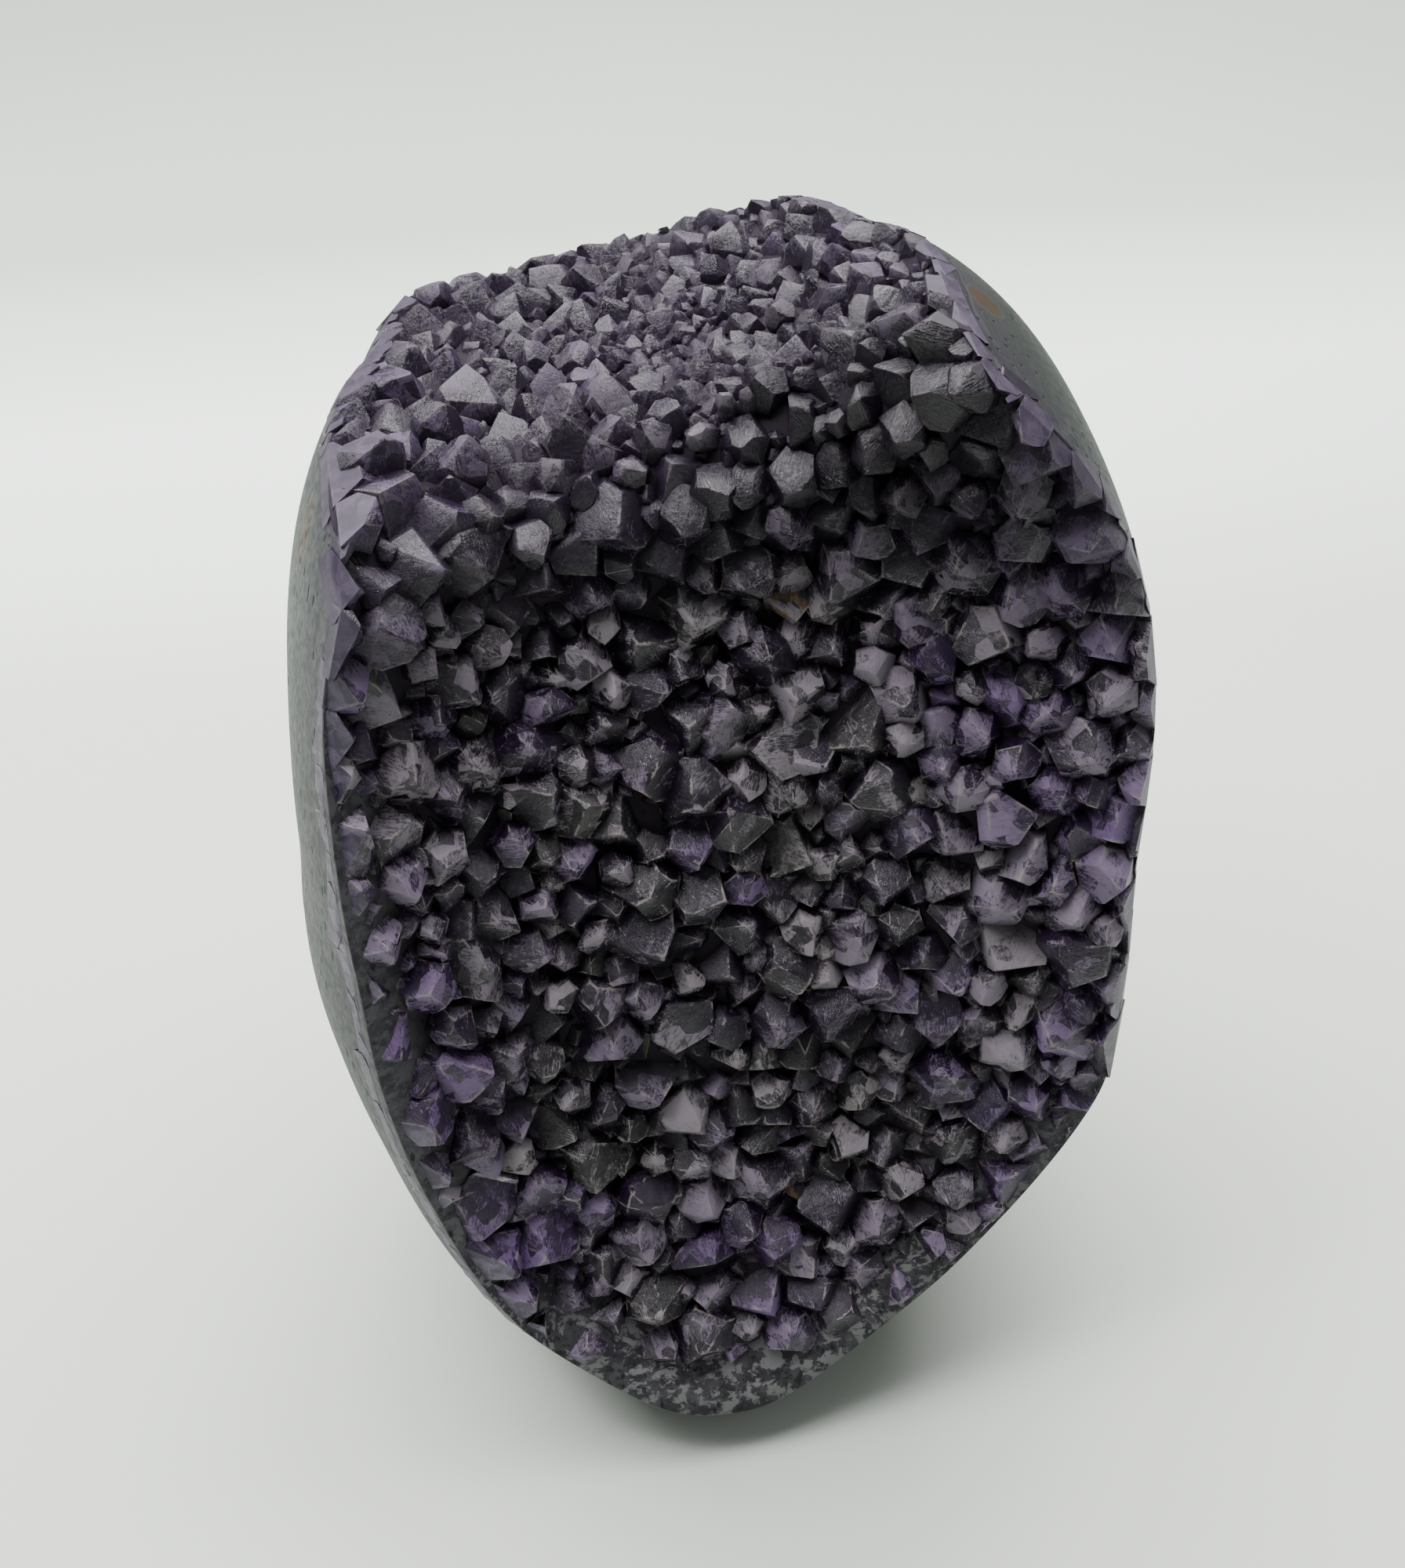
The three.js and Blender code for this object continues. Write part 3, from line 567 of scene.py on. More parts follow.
def crystal_kind(number):
    """One quartz point: six-sided, about 1 in radius, tip near the origin, with unequal slanting faces."""
    kind_rng = np.random.default_rng(100 + number)
    bm = bmesh.new()
    bmesh.ops.create_cube(bm, size=4.0)
    bmesh.ops.translate(bm, verts=bm.verts, vec=(0, 0, -1.5))
    planes = []
    for side in range(6):
        turn = math.pi / 3 * side + kind_rng.uniform(-0.10, 0.10)
        planes.append((Vector((math.cos(turn), math.sin(turn), 0)), kind_rng.uniform(0.72, 1.0)))
    for side in range(6):
        turn = math.pi / 3 * side + kind_rng.uniform(-0.08, 0.08)
        slope = TIP_ANGLE + kind_rng.uniform(-0.10, 0.10)
        cut = kind_rng.uniform(0.15, 0.50) if side % 2 else kind_rng.uniform(-0.10, 0.22)
        if number % 5 == 4 and side == 1:
            cut = 0.95
        normal = slanting(slope, turn)
        planes.append((normal, -cut * normal.z))
    for _ in range(1 + number % 2):
        turn, slope = kind_rng.uniform(0, 2 * math.pi), kind_rng.uniform(0.1, 0.6)
        normal = slanting(slope, turn)
        planes.append((normal, kind_rng.uniform(-0.42, -0.24)))
    for normal, distance in planes:
        cut = bmesh.ops.bisect_plane(bm, geom=bm.verts[:] + bm.edges[:] + bm.faces[:], dist=1e-5,
                                     plane_co=normal * distance, plane_no=normal, clear_outer=True)
        rim = [e for e in cut["geom_cut"] if isinstance(e, bmesh.types.BMEdge)]
        if len(rim) > 2:
            bmesh.ops.edgeloop_fill(bm, edges=rim)
    bmesh.ops.recalc_face_normals(bm, faces=bm.faces)
    mesh = bpy.data.meshes.new("kind")
    bm.to_mesh(mesh)
    bm.free()
    return bpy.data.objects.new("kind_%02d" % number, mesh)


def wall_normal(p):
    """Directions straight out of the crystals' wall."""
    steps = np.eye(3) * 0.5
    rise = np.stack([outside_wall(p + s) - outside_wall(p - s) for s in steps], -1)
    return rise / np.linalg.norm(rise, axis=1, keepdims=True)


def tone_changes(p):
    """How much more frosted and more violet the crystals are at places on the wall; a strongly negative frost
    is painted shade.
    """
    frosted, violet = np.zeros(len(p)), np.zeros(len(p))
    for x, y, z, reach, frost_and_shade_shift, more_violet in TONES:
        share = np.exp(-((p - (x, y, z)) ** 2).sum(1) / reach ** 2)
        frosted += frost_and_shade_shift * share
        violet += more_violet * share
    return frosted, violet


def wall_places(tries):
    """Places all over the wall, in no order, less than a millimetre apart."""
    k = np.arange(tries)
    y = 1 - 2 * (k + 0.5) / tries
    ring = np.sqrt(1 - y * y)
    turn = k * np.pi * (3 - math.sqrt(5))
    directions = np.stack([ring * np.cos(turn), y, ring * np.sin(turn)], -1)
    directions += rng.normal(0, 0.006, directions.shape)
    directions /= np.linalg.norm(directions, axis=1, keepdims=True)
    places = first_crossing(outside_wall, (0, 45, 75), directions, farthest=170)
    low = smooth_step(-places[:, 2], -34, -12)
    past_rim = outside_block(places) > 2.5 - 9.0 * low
    places = places[(outside_wall(places + 0.01) > -1) & ~past_rim & (places[:, 2] > -2)]
    return places[rng.permutation(len(places))]


def too_close(places, sizes, taken, widths):
    """Which places are nearer to a crystal that stands already than half of both widths."""
    close = np.zeros(len(places), bool)
    for start in range(0, len(places), 5000):
        here = places[start:start + 5000]
        gap = (here ** 2).sum(1)[:, None] + (taken ** 2).sum(1)[None] - 2 * here @ taken.T
        close[start:start + 5000] = (gap < (sizes[start:start + 5000, None] + widths[None]) ** 2 / 4).any(1)
    return close


def druse_places():
    """Feet of the crystals, with the room each takes: the stated large ones first, small ones between."""
    places = wall_places(WALL_TRIES)
    crown = smooth_step(places[:, 2], 136, 146) * smooth_step(places[:, 1], -4, 12)
    sugar = np.exp(-((places - (-2, 26, 147)) ** 2).sum(1) / 11 ** 2)
    left_rim = smooth_step(outside_block(places), -12, -4) * smooth_step(-places[:, 0], 15, 40)
    spacing = CRYSTAL_SPACING * (1 - 0.40 * crown) * (1 - 0.42 * sugar) * (1 + 0.2 * left_rim)
    spacing *= rng.uniform(0.85, 1.15, len(places))
    feet = [places[((places - (x, y, z)) ** 2).sum(1).argmin()] for x, y, z, *_ in LARGE_POINTS]
    room = [0.82 * width for _, _, _, width, *_ in LARGE_POINTS]
    for share, most in CRYSTAL_SHARES:
        sizes = spacing * share
        free = ~too_close(places, sizes, np.array(feet), np.array(room))
        added, added_room = np.zeros((most, 3)), np.zeros(most)
        count = 0
        for place, size in zip(places[free], sizes[free]):
            gap = ((added[:count] - place) ** 2).sum(1)
            if count < most and not (gap < (size + added_room[:count]) ** 2 / 4).any():
                added[count], added_room[count] = place, size
                count += 1
        feet += list(added[:count])
        room += list(added_room[:count])
    return np.array(feet), np.array(room)


foot_at, foot_room = druse_places()
count, large = len(foot_at), len(LARGE_POINTS)
out_of_wall = wall_normal(foot_at)
frost_and_shade_shift, more_violet = tone_changes(foot_at)
crystal_axis = out_of_wall + rng.normal(0, RANDOM_LEAN, (count, 3))
crystal_axis /= np.linalg.norm(crystal_axis, axis=1, keepdims=True)
radius = foot_room * rng.uniform(0.76, 0.98, count)
radius[:large] = [0.62 * width for _, _, _, width, *_ in LARGE_POINTS]
swell = (np.sin(foot_at[:, 0] / 4.1 + 1.3 * np.sin(foot_at[:, 2] / 6.3))
         * np.sin(foot_at[:, 2] / 3.7 + 1.1 * np.sin(foot_at[:, 0] / 5.9)))
height = np.clip(0.9 * radius + foot_room / 5 * rng.uniform(1.0, 3.2, count) + 0.8 * swell, 1.6, 8.5)
height[:large] = np.clip(0.8 * radius[:large] + rng.uniform(3.2, 4.2, large), 4.0, 8.8)
tip_at = foot_at + crystal_axis * height[:, None]


def druse_tree(kinds):
    """Geometry nodes that put a quartz point on every place, turned along its axis and spun at random."""
    tree = bpy.data.node_groups.new("quartz_points", "GeometryNodeTree")
    face = tree.interface
    face.new_socket("Geometry", in_out="INPUT", socket_type="NodeSocketGeometry")
    size = face.new_socket("Width", in_out="INPUT", socket_type="NodeSocketFloat")
    size.default_value = 1.0
    seed = face.new_socket("Seed", in_out="INPUT", socket_type="NodeSocketInt")
    kind_input = face.new_socket("Kinds", in_out="INPUT", socket_type="NodeSocketCollection")
    material = face.new_socket("Material", in_out="INPUT", socket_type="NodeSocketMaterial")
    face.new_socket("Geometry", in_out="OUTPUT", socket_type="NodeSocketGeometry")
    n, link = tree.nodes, tree.links.new
    start, end = n.new("NodeGroupInput"), n.new("NodeGroupOutput")

    def named(name, kind):
        node = n.new("GeometryNodeInputNamedAttribute")
        node.data_type = kind
        node.inputs["Name"].default_value = name
        return node.outputs["Attribute"]

    collection = n.new("GeometryNodeCollectionInfo")
    collection.inputs["Separate Children"].default_value = True
    collection.inputs["Reset Children"].default_value = True
    link(start.outputs["Kinds"], collection.inputs["Collection"])
    pick = n.new("FunctionNodeRandomValue")
    pick.data_type = "INT"
    pick.inputs[4].default_value, pick.inputs[5].default_value = 0, kinds - 1
    link(start.outputs["Seed"], pick.inputs["Seed"])
    align = n.new("FunctionNodeAlignRotationToVector")
    align.axis = "Z"
    link(named("axis", "FLOAT_VECTOR"), align.inputs["Vector"])
    spin = n.new("FunctionNodeRandomValue")
    spin.data_type = "FLOAT_VECTOR"
    spin.inputs[0].default_value, spin.inputs[1].default_value = (0, 0, 0), (0, 0, 2 * math.pi)
    link(start.outputs["Seed"], spin.inputs["Seed"])
    turn = n.new("FunctionNodeRotateRotation")
    turn.rotation_space = "LOCAL"
    link(align.outputs[0], turn.inputs[0])
    link(spin.outputs[0], turn.inputs[1])
    scale = n.new("ShaderNodeMath")
    scale.operation = "MULTIPLY"
    link(named("radius", "FLOAT"), scale.inputs[0])
    link(start.outputs["Width"], scale.inputs[1])
    instance = n.new("GeometryNodeInstanceOnPoints")
    instance.inputs["Pick Instance"].default_value = True
    link(start.outputs["Geometry"], instance.inputs["Points"])
    link(collection.outputs[0], instance.inputs["Instance"])
    link(pick.outputs[2], instance.inputs["Instance Index"])
    link(turn.outputs[0], instance.inputs["Rotation"])
    link(scale.outputs[0], instance.inputs["Scale"])
    real = n.new("GeometryNodeRealizeInstances")
    link(instance.outputs[0], real.inputs[0])
    paint = n.new("GeometryNodeSetMaterial")
    link(real.outputs[0], paint.inputs["Geometry"])
    link(start.outputs["Material"], paint.inputs["Material"])
    link(paint.outputs[0], end.inputs[0])
    return tree, dict(width=size.identifier, seed=seed.identifier, kinds=kind_input.identifier,
                      material=material.identifier)


def amethyst_material():
    g = Graph("amethyst")
    where = g.place()
    facet, edge, rise = g.attribute("facet"), g.attribute("edge"), g.attribute("rise")
    frost, violet = g.attribute("frost"), g.attribute("violet")
    ground, iron, rim = g.attribute("ground"), g.attribute("iron"), g.attribute("rim")
    grain = g.node("ShaderNodeUVMap", 0, dict(uv_map="grain"))
    streak_place = g.node("ShaderNodeMapping", 0, Vector=grain, Scale=(4.2, 0.8, 1))
    streak = g.node("ShaderNodeTexNoise", 0, dict(noise_dimensions="2D"), Vector=streak_place, Scale=1.0,
                    Detail=5.0, Roughness=0.7, Distortion=0.8)
    wobble = g.node("ShaderNodeTexNoise", 1, Vector=where, Scale=500.0, Detail=1.0)
    warped = g.node("ShaderNodeVectorMath", 0, dict(operation="MULTIPLY_ADD"), _0=wobble,
                    _1=(0.0008, 0.0008, 0.0008), _2=where)
    flaws = g.node("ShaderNodeTexVoronoi", 1, dict(feature="F1"), Vector=warped, Scale=430.0, Randomness=1.0)
    cracks = g.node("ShaderNodeTexVoronoi", 0, dict(feature="DISTANCE_TO_EDGE"), Vector=warped, Scale=300.0)
    veil = g.ramp(cracks, 0.0, 0.035, 1.0, 0.0)
    veil = g.math("MULTIPLY", veil, g.ramp(g.noise(where, 260, 2), 0.48, 0.58))
    flaw = g.node("ShaderNodeSeparateColor", 0, _0=flaws)
    cloud = g.noise(where, 460, 5, 0.72, 0.5)
    grit = g.noise(where, 2000, 3, 0.7)
    level = frost
    for part, weight in ((facet, 0.40), (cloud, 1.7), (flaw, 1.1), (streak, 2.2), (grit, 0.45)):
        level = g.math("ADD", level, g.math("MULTIPLY", g.math("SUBTRACT", part, 0.5), weight))
    # Painted light and shade: each crystal's tip is made paler and its lower sides darker, as tips that catch
    # the light above and sides that fall into shade
    level = g.math("ADD", level, g.ramp(rise, 0.2, 1.0, -0.22, 0.14))
    level = g.math("ADD", level, g.math("MULTIPLY", veil, 0.5))
    frosted = g.ramp(level, -0.12, 1.12)
    clear = g.mix(violet, (0.012, 0.009, 0.014), (0.042, 0.014, 0.074))
    pale = g.mix(violet, (0.222, 0.202, 0.216), (0.138, 0.084, 0.198))
    colour = g.mix(frosted, clear, pale)
    # Pale lines along the facets' edges, broken by a noise: partly chipped, worn edges and partly painted
    # highlight where rounded edges would catch the light
    chip = g.ramp(g.noise(where, 420, 3), 0.45, 0.62)
    near_edge = g.math("ADD", edge, g.math("MULTIPLY", g.math("SUBTRACT", grit, 0.5), 0.35))
    edge_wear_and_highlight = g.math("MULTIPLY", g.math("MULTIPLY", g.ramp(near_edge, 0.03, 0.15, 1.0, 0.0), chip), 0.8)
    colour = g.mix(edge_wear_and_highlight, colour, (0.24, 0.22, 0.21))
    # Painted shade: each crystal darkens to near black towards its foot, the shade in the gaps between the
    # crystals; at the rim the foot turns dark grey instead
    foot = g.math("MULTIPLY", g.ramp(rise, 0.0, 0.55, 1.0, 0.0), 0.9)
    colour = g.mix(foot, colour, g.mix(rim, (0.009, 0.007, 0.008), (0.052, 0.050, 0.056)))
    rust = g.math("MULTIPLY", iron, g.ramp(g.noise(where, 520, 3), 0.50, 0.60))
    colour = g.mix(rust, colour, (0.17, 0.105, 0.042))
    within = g.math("ADD", g.math("MULTIPLY", cloud, 1.4), g.math("MULTIPLY", flaw, 0.45))
    within = g.ramp(g.math("ADD", within, g.math("MULTIPLY", veil, 0.3)), 0.62, 1.35)
    polish = g.mix(within, (0.020, 0.012, 0.034), (0.112, 0.090, 0.138))
    # Ground facets show the polished quartz within, with the same pale edge lines, partly painted highlight
    colour = g.mix(ground, colour, g.mix(g.math("MULTIPLY", edge_wear_and_highlight, 0.6), polish, (0.21, 0.20, 0.21)))
    # Painted shade: crystals high on the crown are painted darker violet, to tone down the light that falls
    # on them from above
    height = g.node("ShaderNodeSeparateXYZ", 0, _0=where).node.outputs[2]
    colour = g.mix(g.ramp(height, 0.118, 0.142, 0.0, 0.68), colour, (0.024, 0.016, 0.032))
    # Painted shade: crystals in the deep pockets of the hollow and under the crown's right lip are painted
    # near black
    colour = g.mix(g.math("MULTIPLY", g.attribute("smoky"), 0.8), colour, (0.007, 0.004, 0.009))
    g.put(g.shader.inputs["Base Color"], colour)
    rough = g.blend(frosted, 0.08, 0.50)
    g.put(g.shader.inputs["Roughness"], g.blend(ground, rough, 0.5))
    g.put(g.shader.inputs["IOR"], 1.544)
    g.put(g.shader.inputs["Specular IOR Level"], 0.34)
    see_through = g.ramp(frosted, 0.0, 0.70, 0.65, 0.10)
    for covered in (edge_wear_and_highlight, foot, g.math("MULTIPLY", ground, 0.9)):
        see_through = g.math("MULTIPLY", see_through, g.math("SUBTRACT", 1.0, covered))
    g.put(g.shader.inputs["Transmission Weight"], see_through)
    violet_inside = g.node("ShaderNodeVolumeAbsorption", 0, Color=(0.50, 0.38, 0.68), Density=60.0)
    g.links.new(violet_inside, g.nodes["Material Output"].inputs["Volume"])
    lumps = g.noise(where, 620, 3, 0.6)
    bumps = g.math("ADD", g.math("MULTIPLY", streak, 0.5), g.math("MULTIPLY", grit, 0.5))
    bumps = g.math("ADD", bumps, g.math("MULTIPLY", lumps, 1.0))
    bumps = g.math("MULTIPLY", bumps, g.blend(ground, 1.0, 0.15))
    g.put(g.shader.inputs["Normal"], g.bump(bumps, 0.0004, 0.6))
    return g.material


amethyst = amethyst_material()


def quartz_points():
    """The crystals as one mesh, made by the tree, with which crystal each vertex belongs to."""
    kinds = bpy.data.collections.new("crystal_kinds")
    for number in range(CRYSTAL_KINDS):
        kinds.objects.link(crystal_kind(number))
    seeds = bpy.data.meshes.new("druse_places")
    seeds.from_pydata((tip_at / 1000).tolist(), [], [])
    write_attribute(seeds, "radius", "POINT", radius / 1000)
    seeds.attributes.new("axis", "FLOAT_VECTOR", "POINT").data.foreach_set(
        "vector", crystal_axis.astype(np.float32).ravel())
    write_attribute(seeds, "number", "POINT", np.arange(count))
    holder = add_piece("druse_places", seeds)
    tree, names = druse_tree(len(kinds.objects))
    modifier = holder.modifiers.new("quartz_points", "NODES")
    modifier.node_group = tree
    modifier[names["width"]] = 1.0
    modifier[names["seed"]] = 3
    modifier[names["kinds"]] = kinds
    modifier[names["material"]] = amethyst
    made = bpy.data.meshes.new_from_object(holder.evaluated_get(bpy.context.evaluated_depsgraph_get()))
    bpy.data.objects.remove(holder)
    for kind in list(kinds.objects):
        bpy.data.objects.remove(kind)
    bpy.data.collections.remove(kinds)
    return made


def crystal_facets(mesh):
    """For each crystal its facets, as corners in millimetres, its feet set to just under the wall."""
    total = len(mesh.vertices)
    places, number = np.zeros(total * 3, np.float32), np.zeros(total, np.float32)
    mesh.vertices.foreach_get("co", places)
    mesh.attributes["number"].data.foreach_get("value", number)
    places, number = places.reshape(-1, 3).astype(float) * 1000, number.round().astype(int)
    axis = crystal_axis[number]
    down = ((tip_at[number] - places) * axis).sum(1)
    is_foot = down > 2.6 * radius[number]
    places[is_foot] += (axis * (down - height[number] - FOOT_DEPTH)[:, None])[is_foot]
    facets = [[] for _ in range(count)]
    for polygon in mesh.polygons:
        corners = list(polygon.vertices)
        facets[number[corners[0]]].append((places[corners], False))
    return facets


def kept_side(corners, on, outwards):
    """The part of a convex polygon behind a plane, and the points where the plane cuts it."""
    above = (corners - on) @ outwards
    kept, met = [], []
    for i, here in enumerate(corners):
        j = (i + 1) % len(corners)
        if above[i] <= 0:
            kept.append(here)
        if (above[i] <= 0) != (above[j] <= 0):
            cut = here + (corners[j] - here) * (above[i] / (above[i] - above[j]))
            kept.append(cut)
            met.append(cut)
    return kept, met


def ground_flush(facets, on, outwards):
    """A crystal's facets with all past a plane ground away. Each facet is its corners and if it is ground."""
    left, met = [], []
    for corners, is_ground in facets:
        kept, cuts = kept_side(corners, on, outwards)
        met += cuts
        if len(kept) > 2:
            left.append((np.array(kept), is_ground))
    if len(met) < 6:
        return left
    met = np.array(met)
    u = np.cross(outwards, [0.3, 0.5, 0.8])
    u /= np.linalg.norm(u)
    v = np.cross(outwards, u)
    from_middle = met - met.mean(0)
    ring = met[np.argsort(np.arctan2(from_middle @ v, from_middle @ u))]
    ring = ring[np.linalg.norm(ring - np.roll(ring, 1, axis=0), axis=1) > 1e-4]
    if len(ring) > 2:
        left.append((ring, True))
    return left


def block_tangent(near):
    """The point of the block's surface that is nearest to a point, and the direction out of it there."""
    on, h = near.copy(), 0.4
    for _ in range(3):
        steps = np.eye(3) * h
        slope = (outside_block(on + steps) - outside_block(on - steps)) / (2 * h)
        on = on - slope * outside_block(on[None])[0] / (slope @ slope)
    return on, slope / np.linalg.norm(slope)


SHOULDER_START = 0.6  # height above the wall where the polish turns over onto the crystals
SHOULDER_TALL = 6.5  # height above the wall where it ends, past the tips


def shoulder_width(place):
    """How far in from the rim the rounded polish reaches, widest on the left and at the foot."""
    left = smooth_step(-place[0], 5, 40)
    low = smooth_step(-place[2], -40, -8)
    return 2.0 + 2.8 * max(left, low)


def polished_at_the_rim(facets):
    """The druse's facets, its crystals ground to the stone's surface and rounded over at the rim."""
    done, owners = [], []
    for k, mine in enumerate(facets):
        outside = outside_block(np.concatenate([corners for corners, _ in mine]))
        if outside.min() > -0.15:
            continue
        if outside.max() > -8:
            on, out = block_tangent(foot_at[k])
            up = out_of_wall[k] - out * (out @ out_of_wall[k])
            up /= np.linalg.norm(up)
            if outside.max() > 0:
                halfway = foot_at[k] + crystal_axis[k] * min(height[k] * 0.5, 2.0)
                mine = ground_flush(mine, *block_tangent(halfway))
            slant = out * SHOULDER_TALL + up * shoulder_width(foot_at[k])
            mine = ground_flush(mine, on + up * SHOULDER_START, slant / np.linalg.norm(slant))
        done += mine
        owners += [k] * len(mine)
    return done, np.array(owners)


def unit(vectors):
    return vectors / np.maximum(np.linalg.norm(vectors, axis=-1, keepdims=True), 1e-9)


EDGE_WEAR = 0.42  # how far each facet's shading turns towards its neighbours' at its edges
druse_facets, facet_crystal = polished_at_the_rim(crystal_facets(quartz_points()))
sizes = np.array([len(corners) for corners, _ in druse_facets])
is_ground = np.array([flush for _, flush in druse_facets])
corners = np.concatenate([corners for corners, _ in druse_facets])
facet_of_corner = np.repeat(np.arange(len(sizes)), sizes)
keys = np.column_stack([facet_crystal[facet_of_corner], (corners * 2000).round()])
_, first, vertex = np.unique(keys, axis=0, return_index=True, return_inverse=True)
vertex = vertex.ravel()
middles = np.zeros((len(sizes), 3))
np.add.at(middles, facet_of_corner, corners)
middles /= sizes[:, None]
points = np.concatenate([corners[first], middles])
ends = np.cumsum(sizes)
following = np.arange(1, len(corners) + 1)
following[ends - 1] = ends - sizes
triangles = np.stack([vertex, vertex[following], len(first) + facet_of_corner], -1)
whole = triangles[:, 0] != triangles[:, 1]
whole &= np.bincount(facet_of_corner[whole], minlength=len(sizes))[facet_of_corner] > 2
triangles, facet = triangles[whole], facet_of_corner[whole]
crystal = facet_crystal[facet]
crystal_mesh = mesh_of("amethyst_crystals", points, triangles.tolist())
crystal_mesh.materials.append(amethyst)

at = points[triangles]
turned_area = np.cross(at[:, 1] - at[:, 0], at[:, 2] - at[:, 0])
facet_normal = np.zeros((len(sizes), 3))
np.add.at(facet_normal, facet, turned_area)
facet_normal = unit(facet_normal)
corner_normal = np.zeros((len(points), 3))
for side in range(2):
    np.add.at(corner_normal, triangles[:, side], turned_area)
corner_normal = unit(corner_normal)
shading = np.repeat(facet_normal[facet][:, None], 3, axis=1)
shading[:, :2] = unit(shading[:, :2] * (1 - EDGE_WEAR) + corner_normal[triangles[:, :2]] * EDGE_WEAR)
flat = is_ground[facet]
shading[flat] = facet_normal[facet][flat][:, None]

chance = np.random.default_rng(21)
near_rim = smooth_step(outside_block(foot_at), -13, -2)
on_crown = smooth_step(foot_at[:, 2], 126, 144)
# Painted shade: the crown's crystals are made less frosted, so darker, to tone down the light from above;
# near the rim they are more frosted and violet
frost = 0.12 + 0.14 * near_rim - 0.16 * on_crown + frost_and_shade_shift + chance.normal(0, 0.28, count)
violet = 0.25 + 0.30 * near_rim + 0.15 * on_crown + more_violet + chance.normal(0, 0.20, count)
frost[:large] = [frosted - 0.06 for *_, frosted, _ in LARGE_POINTS]
violet[:large] = [purple for *_, purple in LARGE_POINTS]
iron = np.zeros(count)
for stain in IRON_STAINS:
    iron[((foot_at - stain) ** 2).sum(1).argmin()] = 1
write_attribute(crystal_mesh, "edge", "POINT", np.arange(len(points)) >= len(first))
write_attribute(crystal_mesh, "rise", "POINT", np.clip(outside_wall(points) / 5.0, 0, 1))
write_attribute(crystal_mesh, "facet", "FACE", chance.uniform(0, 1, len(sizes))[facet])
write_attribute(crystal_mesh, "ground", "FACE", flat)
write_attribute(crystal_mesh, "frost", "FACE", frost[crystal])
write_attribute(crystal_mesh, "violet", "FACE", np.clip(violet, 0, 1)[crystal])
write_attribute(crystal_mesh, "iron", "FACE", iron[crystal])
# Painted shade: how far each crystal is painted near black, from the strongly negative frost patches
write_attribute(crystal_mesh, "smoky", "FACE", np.clip((-frost_and_shade_shift - 0.3) / 0.4, 0, 1)[crystal])
write_attribute(crystal_mesh, "rim", "POINT", smooth_step(outside_block(points), -2.5, -0.6))

# growth lines run up each facet: the map is millimetres across it and up it
across = unit(np.cross(crystal_axis[crystal], facet_normal[facet]))
upward = np.cross(facet_normal[facet], across)
from_tip = at - tip_at[crystal][:, None]
grain = np.stack([(from_tip * across[:, None]).sum(-1), (from_tip * upward[:, None]).sum(-1)], -1)
grain += chance.uniform(0, 400, (len(sizes), 2))[facet][:, None]
crystal_mesh.uv_layers.new(name="grain").data.foreach_set("uv", grain.astype(np.float32).ravel())
crystal_mesh.shade_smooth()
crystal_mesh.normals_split_custom_set(shading.reshape(-1, 3).tolist())
crystals = add_piece("amethyst_crystals", crystal_mesh)
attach(crystals, "root")
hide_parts("crystal_crust")


# Floor, light and camera
# A flat sheet of pale paper that runs on as the backdrop, its colour painted with the light of a curved
# sweep: a bright band where the paper would bend up and catch the light, greyer beyond. One large soft light
# above it, a small bright one that gives the crystals their glints, and a pale room all round.
FLOOR_REACH = 2
FOCAL_PIXELS, PHOTO_HEIGHT, SENSOR = 2550, 2000, 36  # the lens as found from the photo, in its pixels
floor_mesh = bpy.data.meshes.new("floor")
reach = FLOOR_REACH
floor_mesh.from_pydata([(-reach, -reach, 0), (reach, -reach, 0), (reach, reach, 0), (-reach, reach, 0)], [],
                       [(0, 1, 2, 3)])
g = Graph("pale_paper")
depth = g.node("ShaderNodeSeparateXYZ", 0, _0=g.place()).node.outputs[1]
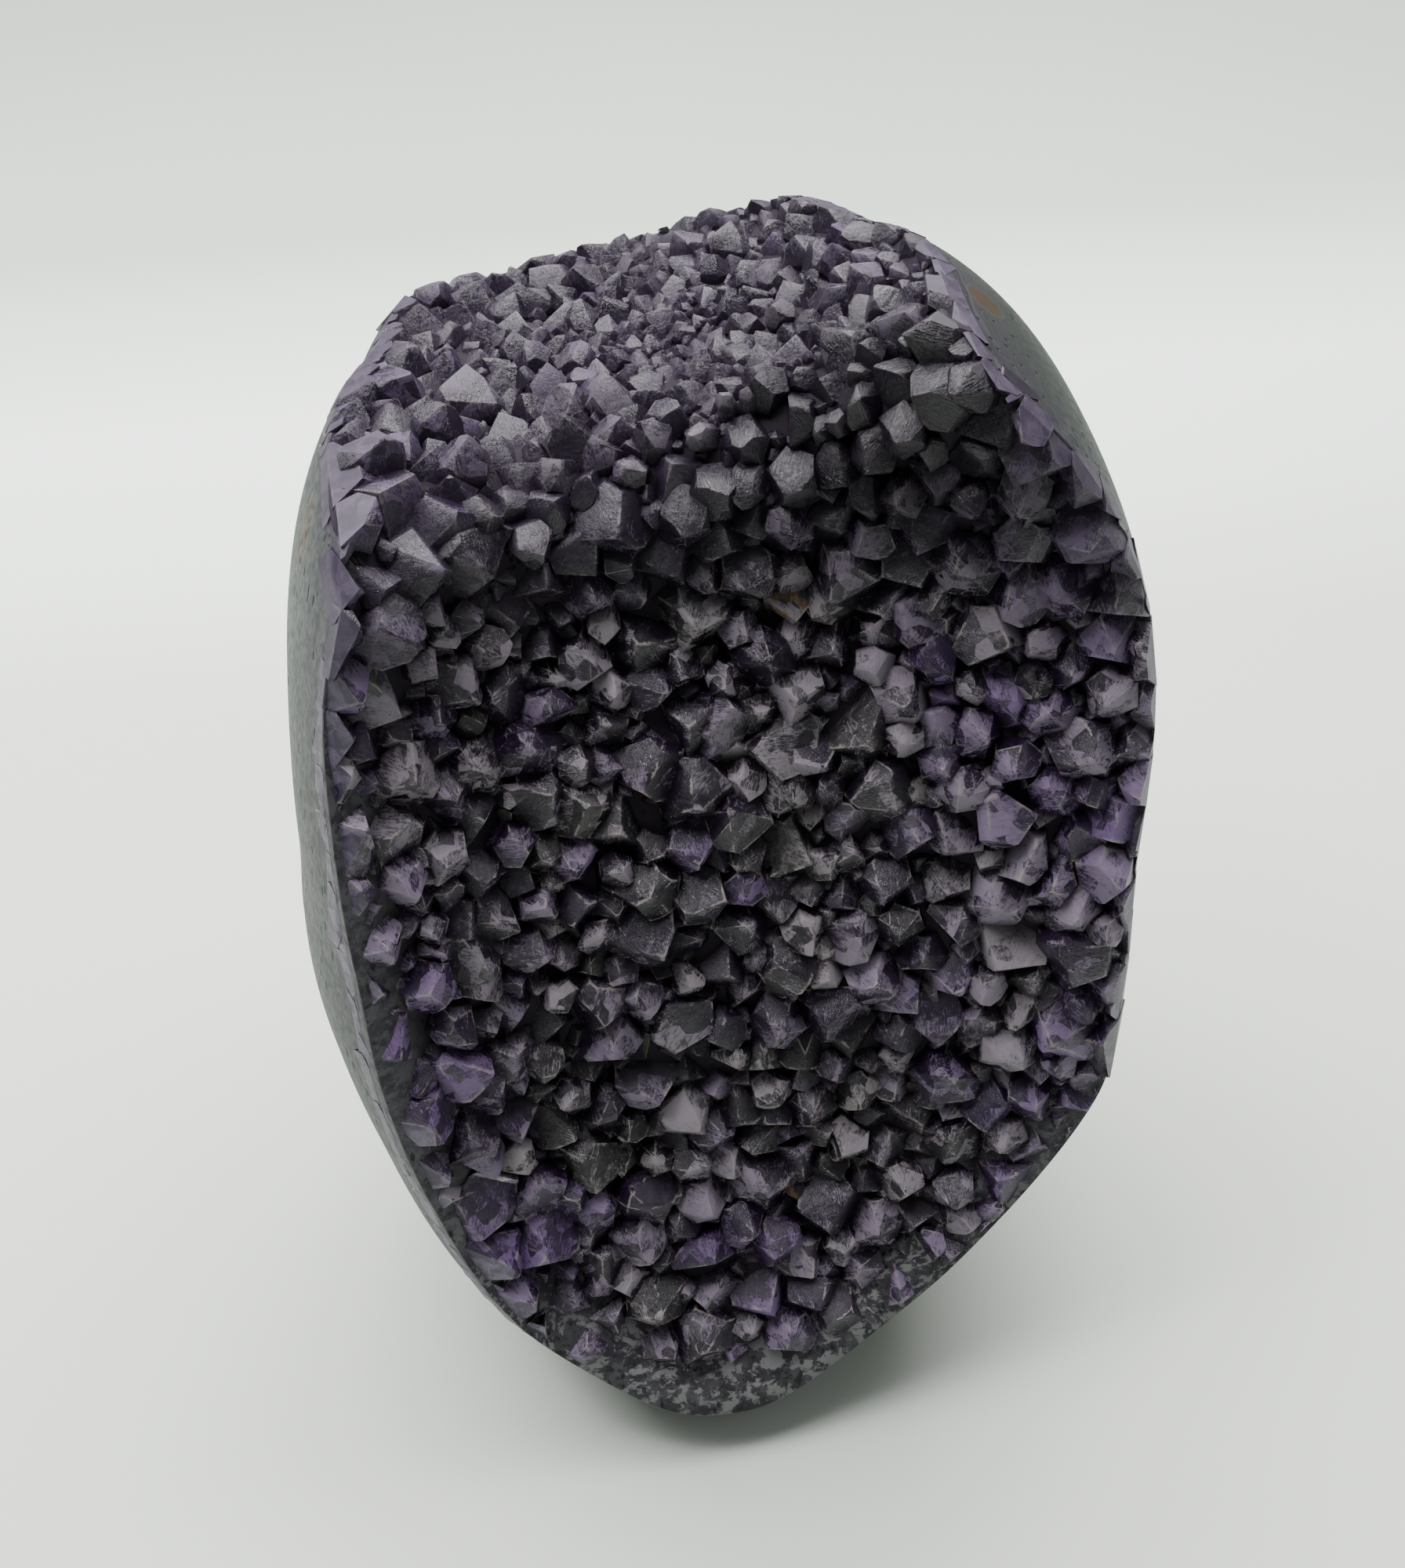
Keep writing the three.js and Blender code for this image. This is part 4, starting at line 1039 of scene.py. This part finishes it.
# Painted light: a bright band where a sweep would curve up and catch the light, and greyer paper beyond it
painted_sweep_light = g.colours(g.ramp(depth, -0.25, 0.75), [
    (0.0, (0.64, 0.70, 0.63)), (0.33, (0.65, 0.71, 0.64)), (0.41, (0.80, 0.90, 0.81)),
    (0.50, (0.86, 0.96, 0.87)), (0.57, (0.70, 0.79, 0.71)), (0.65, (0.50, 0.57, 0.51)),
    (1.0, (0.43, 0.49, 0.44))])
mottled = g.mix(g.noise(g.place(), 6, 2), painted_sweep_light, g.mix(0.15, painted_sweep_light, (0.80, 0.85, 0.80)))
g.put(g.shader.inputs["Base Color"], mottled)
g.put(g.shader.inputs["Roughness"], 0.8)
g.put(g.shader.inputs["Normal"], g.bump(g.noise(g.place(), 1200, 2), 0.0001, 0.3))
floor_mesh.materials.append(g.material)
floor = add_piece("floor", floor_mesh)

world = bpy.data.worlds.new("room")
bpy.context.scene.world = world
world.use_nodes = True
world.node_tree.nodes["Background"].inputs[0].default_value = (0.82, 0.83, 0.83, 1)
world.node_tree.nodes["Background"].inputs[1].default_value = 0.33


def soft_light(name, place, aim, size, power, colour=(1, 1, 1)):
    data = bpy.data.lights.new(name, "AREA")
    data.shape, data.size, data.size_y = "RECTANGLE", size[0], size[1]
    data.energy, data.color = power, colour
    lamp = bpy.data.objects.new(name, data)
    lamp.location = place
    lamp.rotation_euler = (Vector(aim) - Vector(place)).to_track_quat("-Z", "Y").to_euler()
    bpy.context.scene.collection.objects.link(lamp)


soft_light("over", (-0.06, 0.26, 0.72), (0, 0, 0.08), (1.15, 0.85), 28, (1.0, 0.975, 0.99))
soft_light("window", (-0.30, -0.06, 0.66), (0, 0, 0.08), (0.08, 0.08), 0.8)

pitch, azimuth, distance = math.radians(41.8), math.radians(-8.6), 0.2834
aim = Vector((-0.0014, -0.0033, 0.0893))
back = Vector((math.sin(azimuth) * math.cos(pitch), -math.cos(azimuth) * math.cos(pitch), math.sin(pitch)))
camera_data = bpy.data.cameras.new("camera")
camera_data.lens = FOCAL_PIXELS / PHOTO_HEIGHT * SENSOR
camera_data.sensor_width = SENSOR
camera_data.clip_start, camera_data.clip_end = 0.01, 20
camera = bpy.data.objects.new("camera", camera_data)
camera.location = aim + back * distance
camera.rotation_euler = (-back).to_track_quat("-Z", "Y").to_euler()
bpy.context.scene.collection.objects.link(camera)
bpy.context.scene.camera = camera
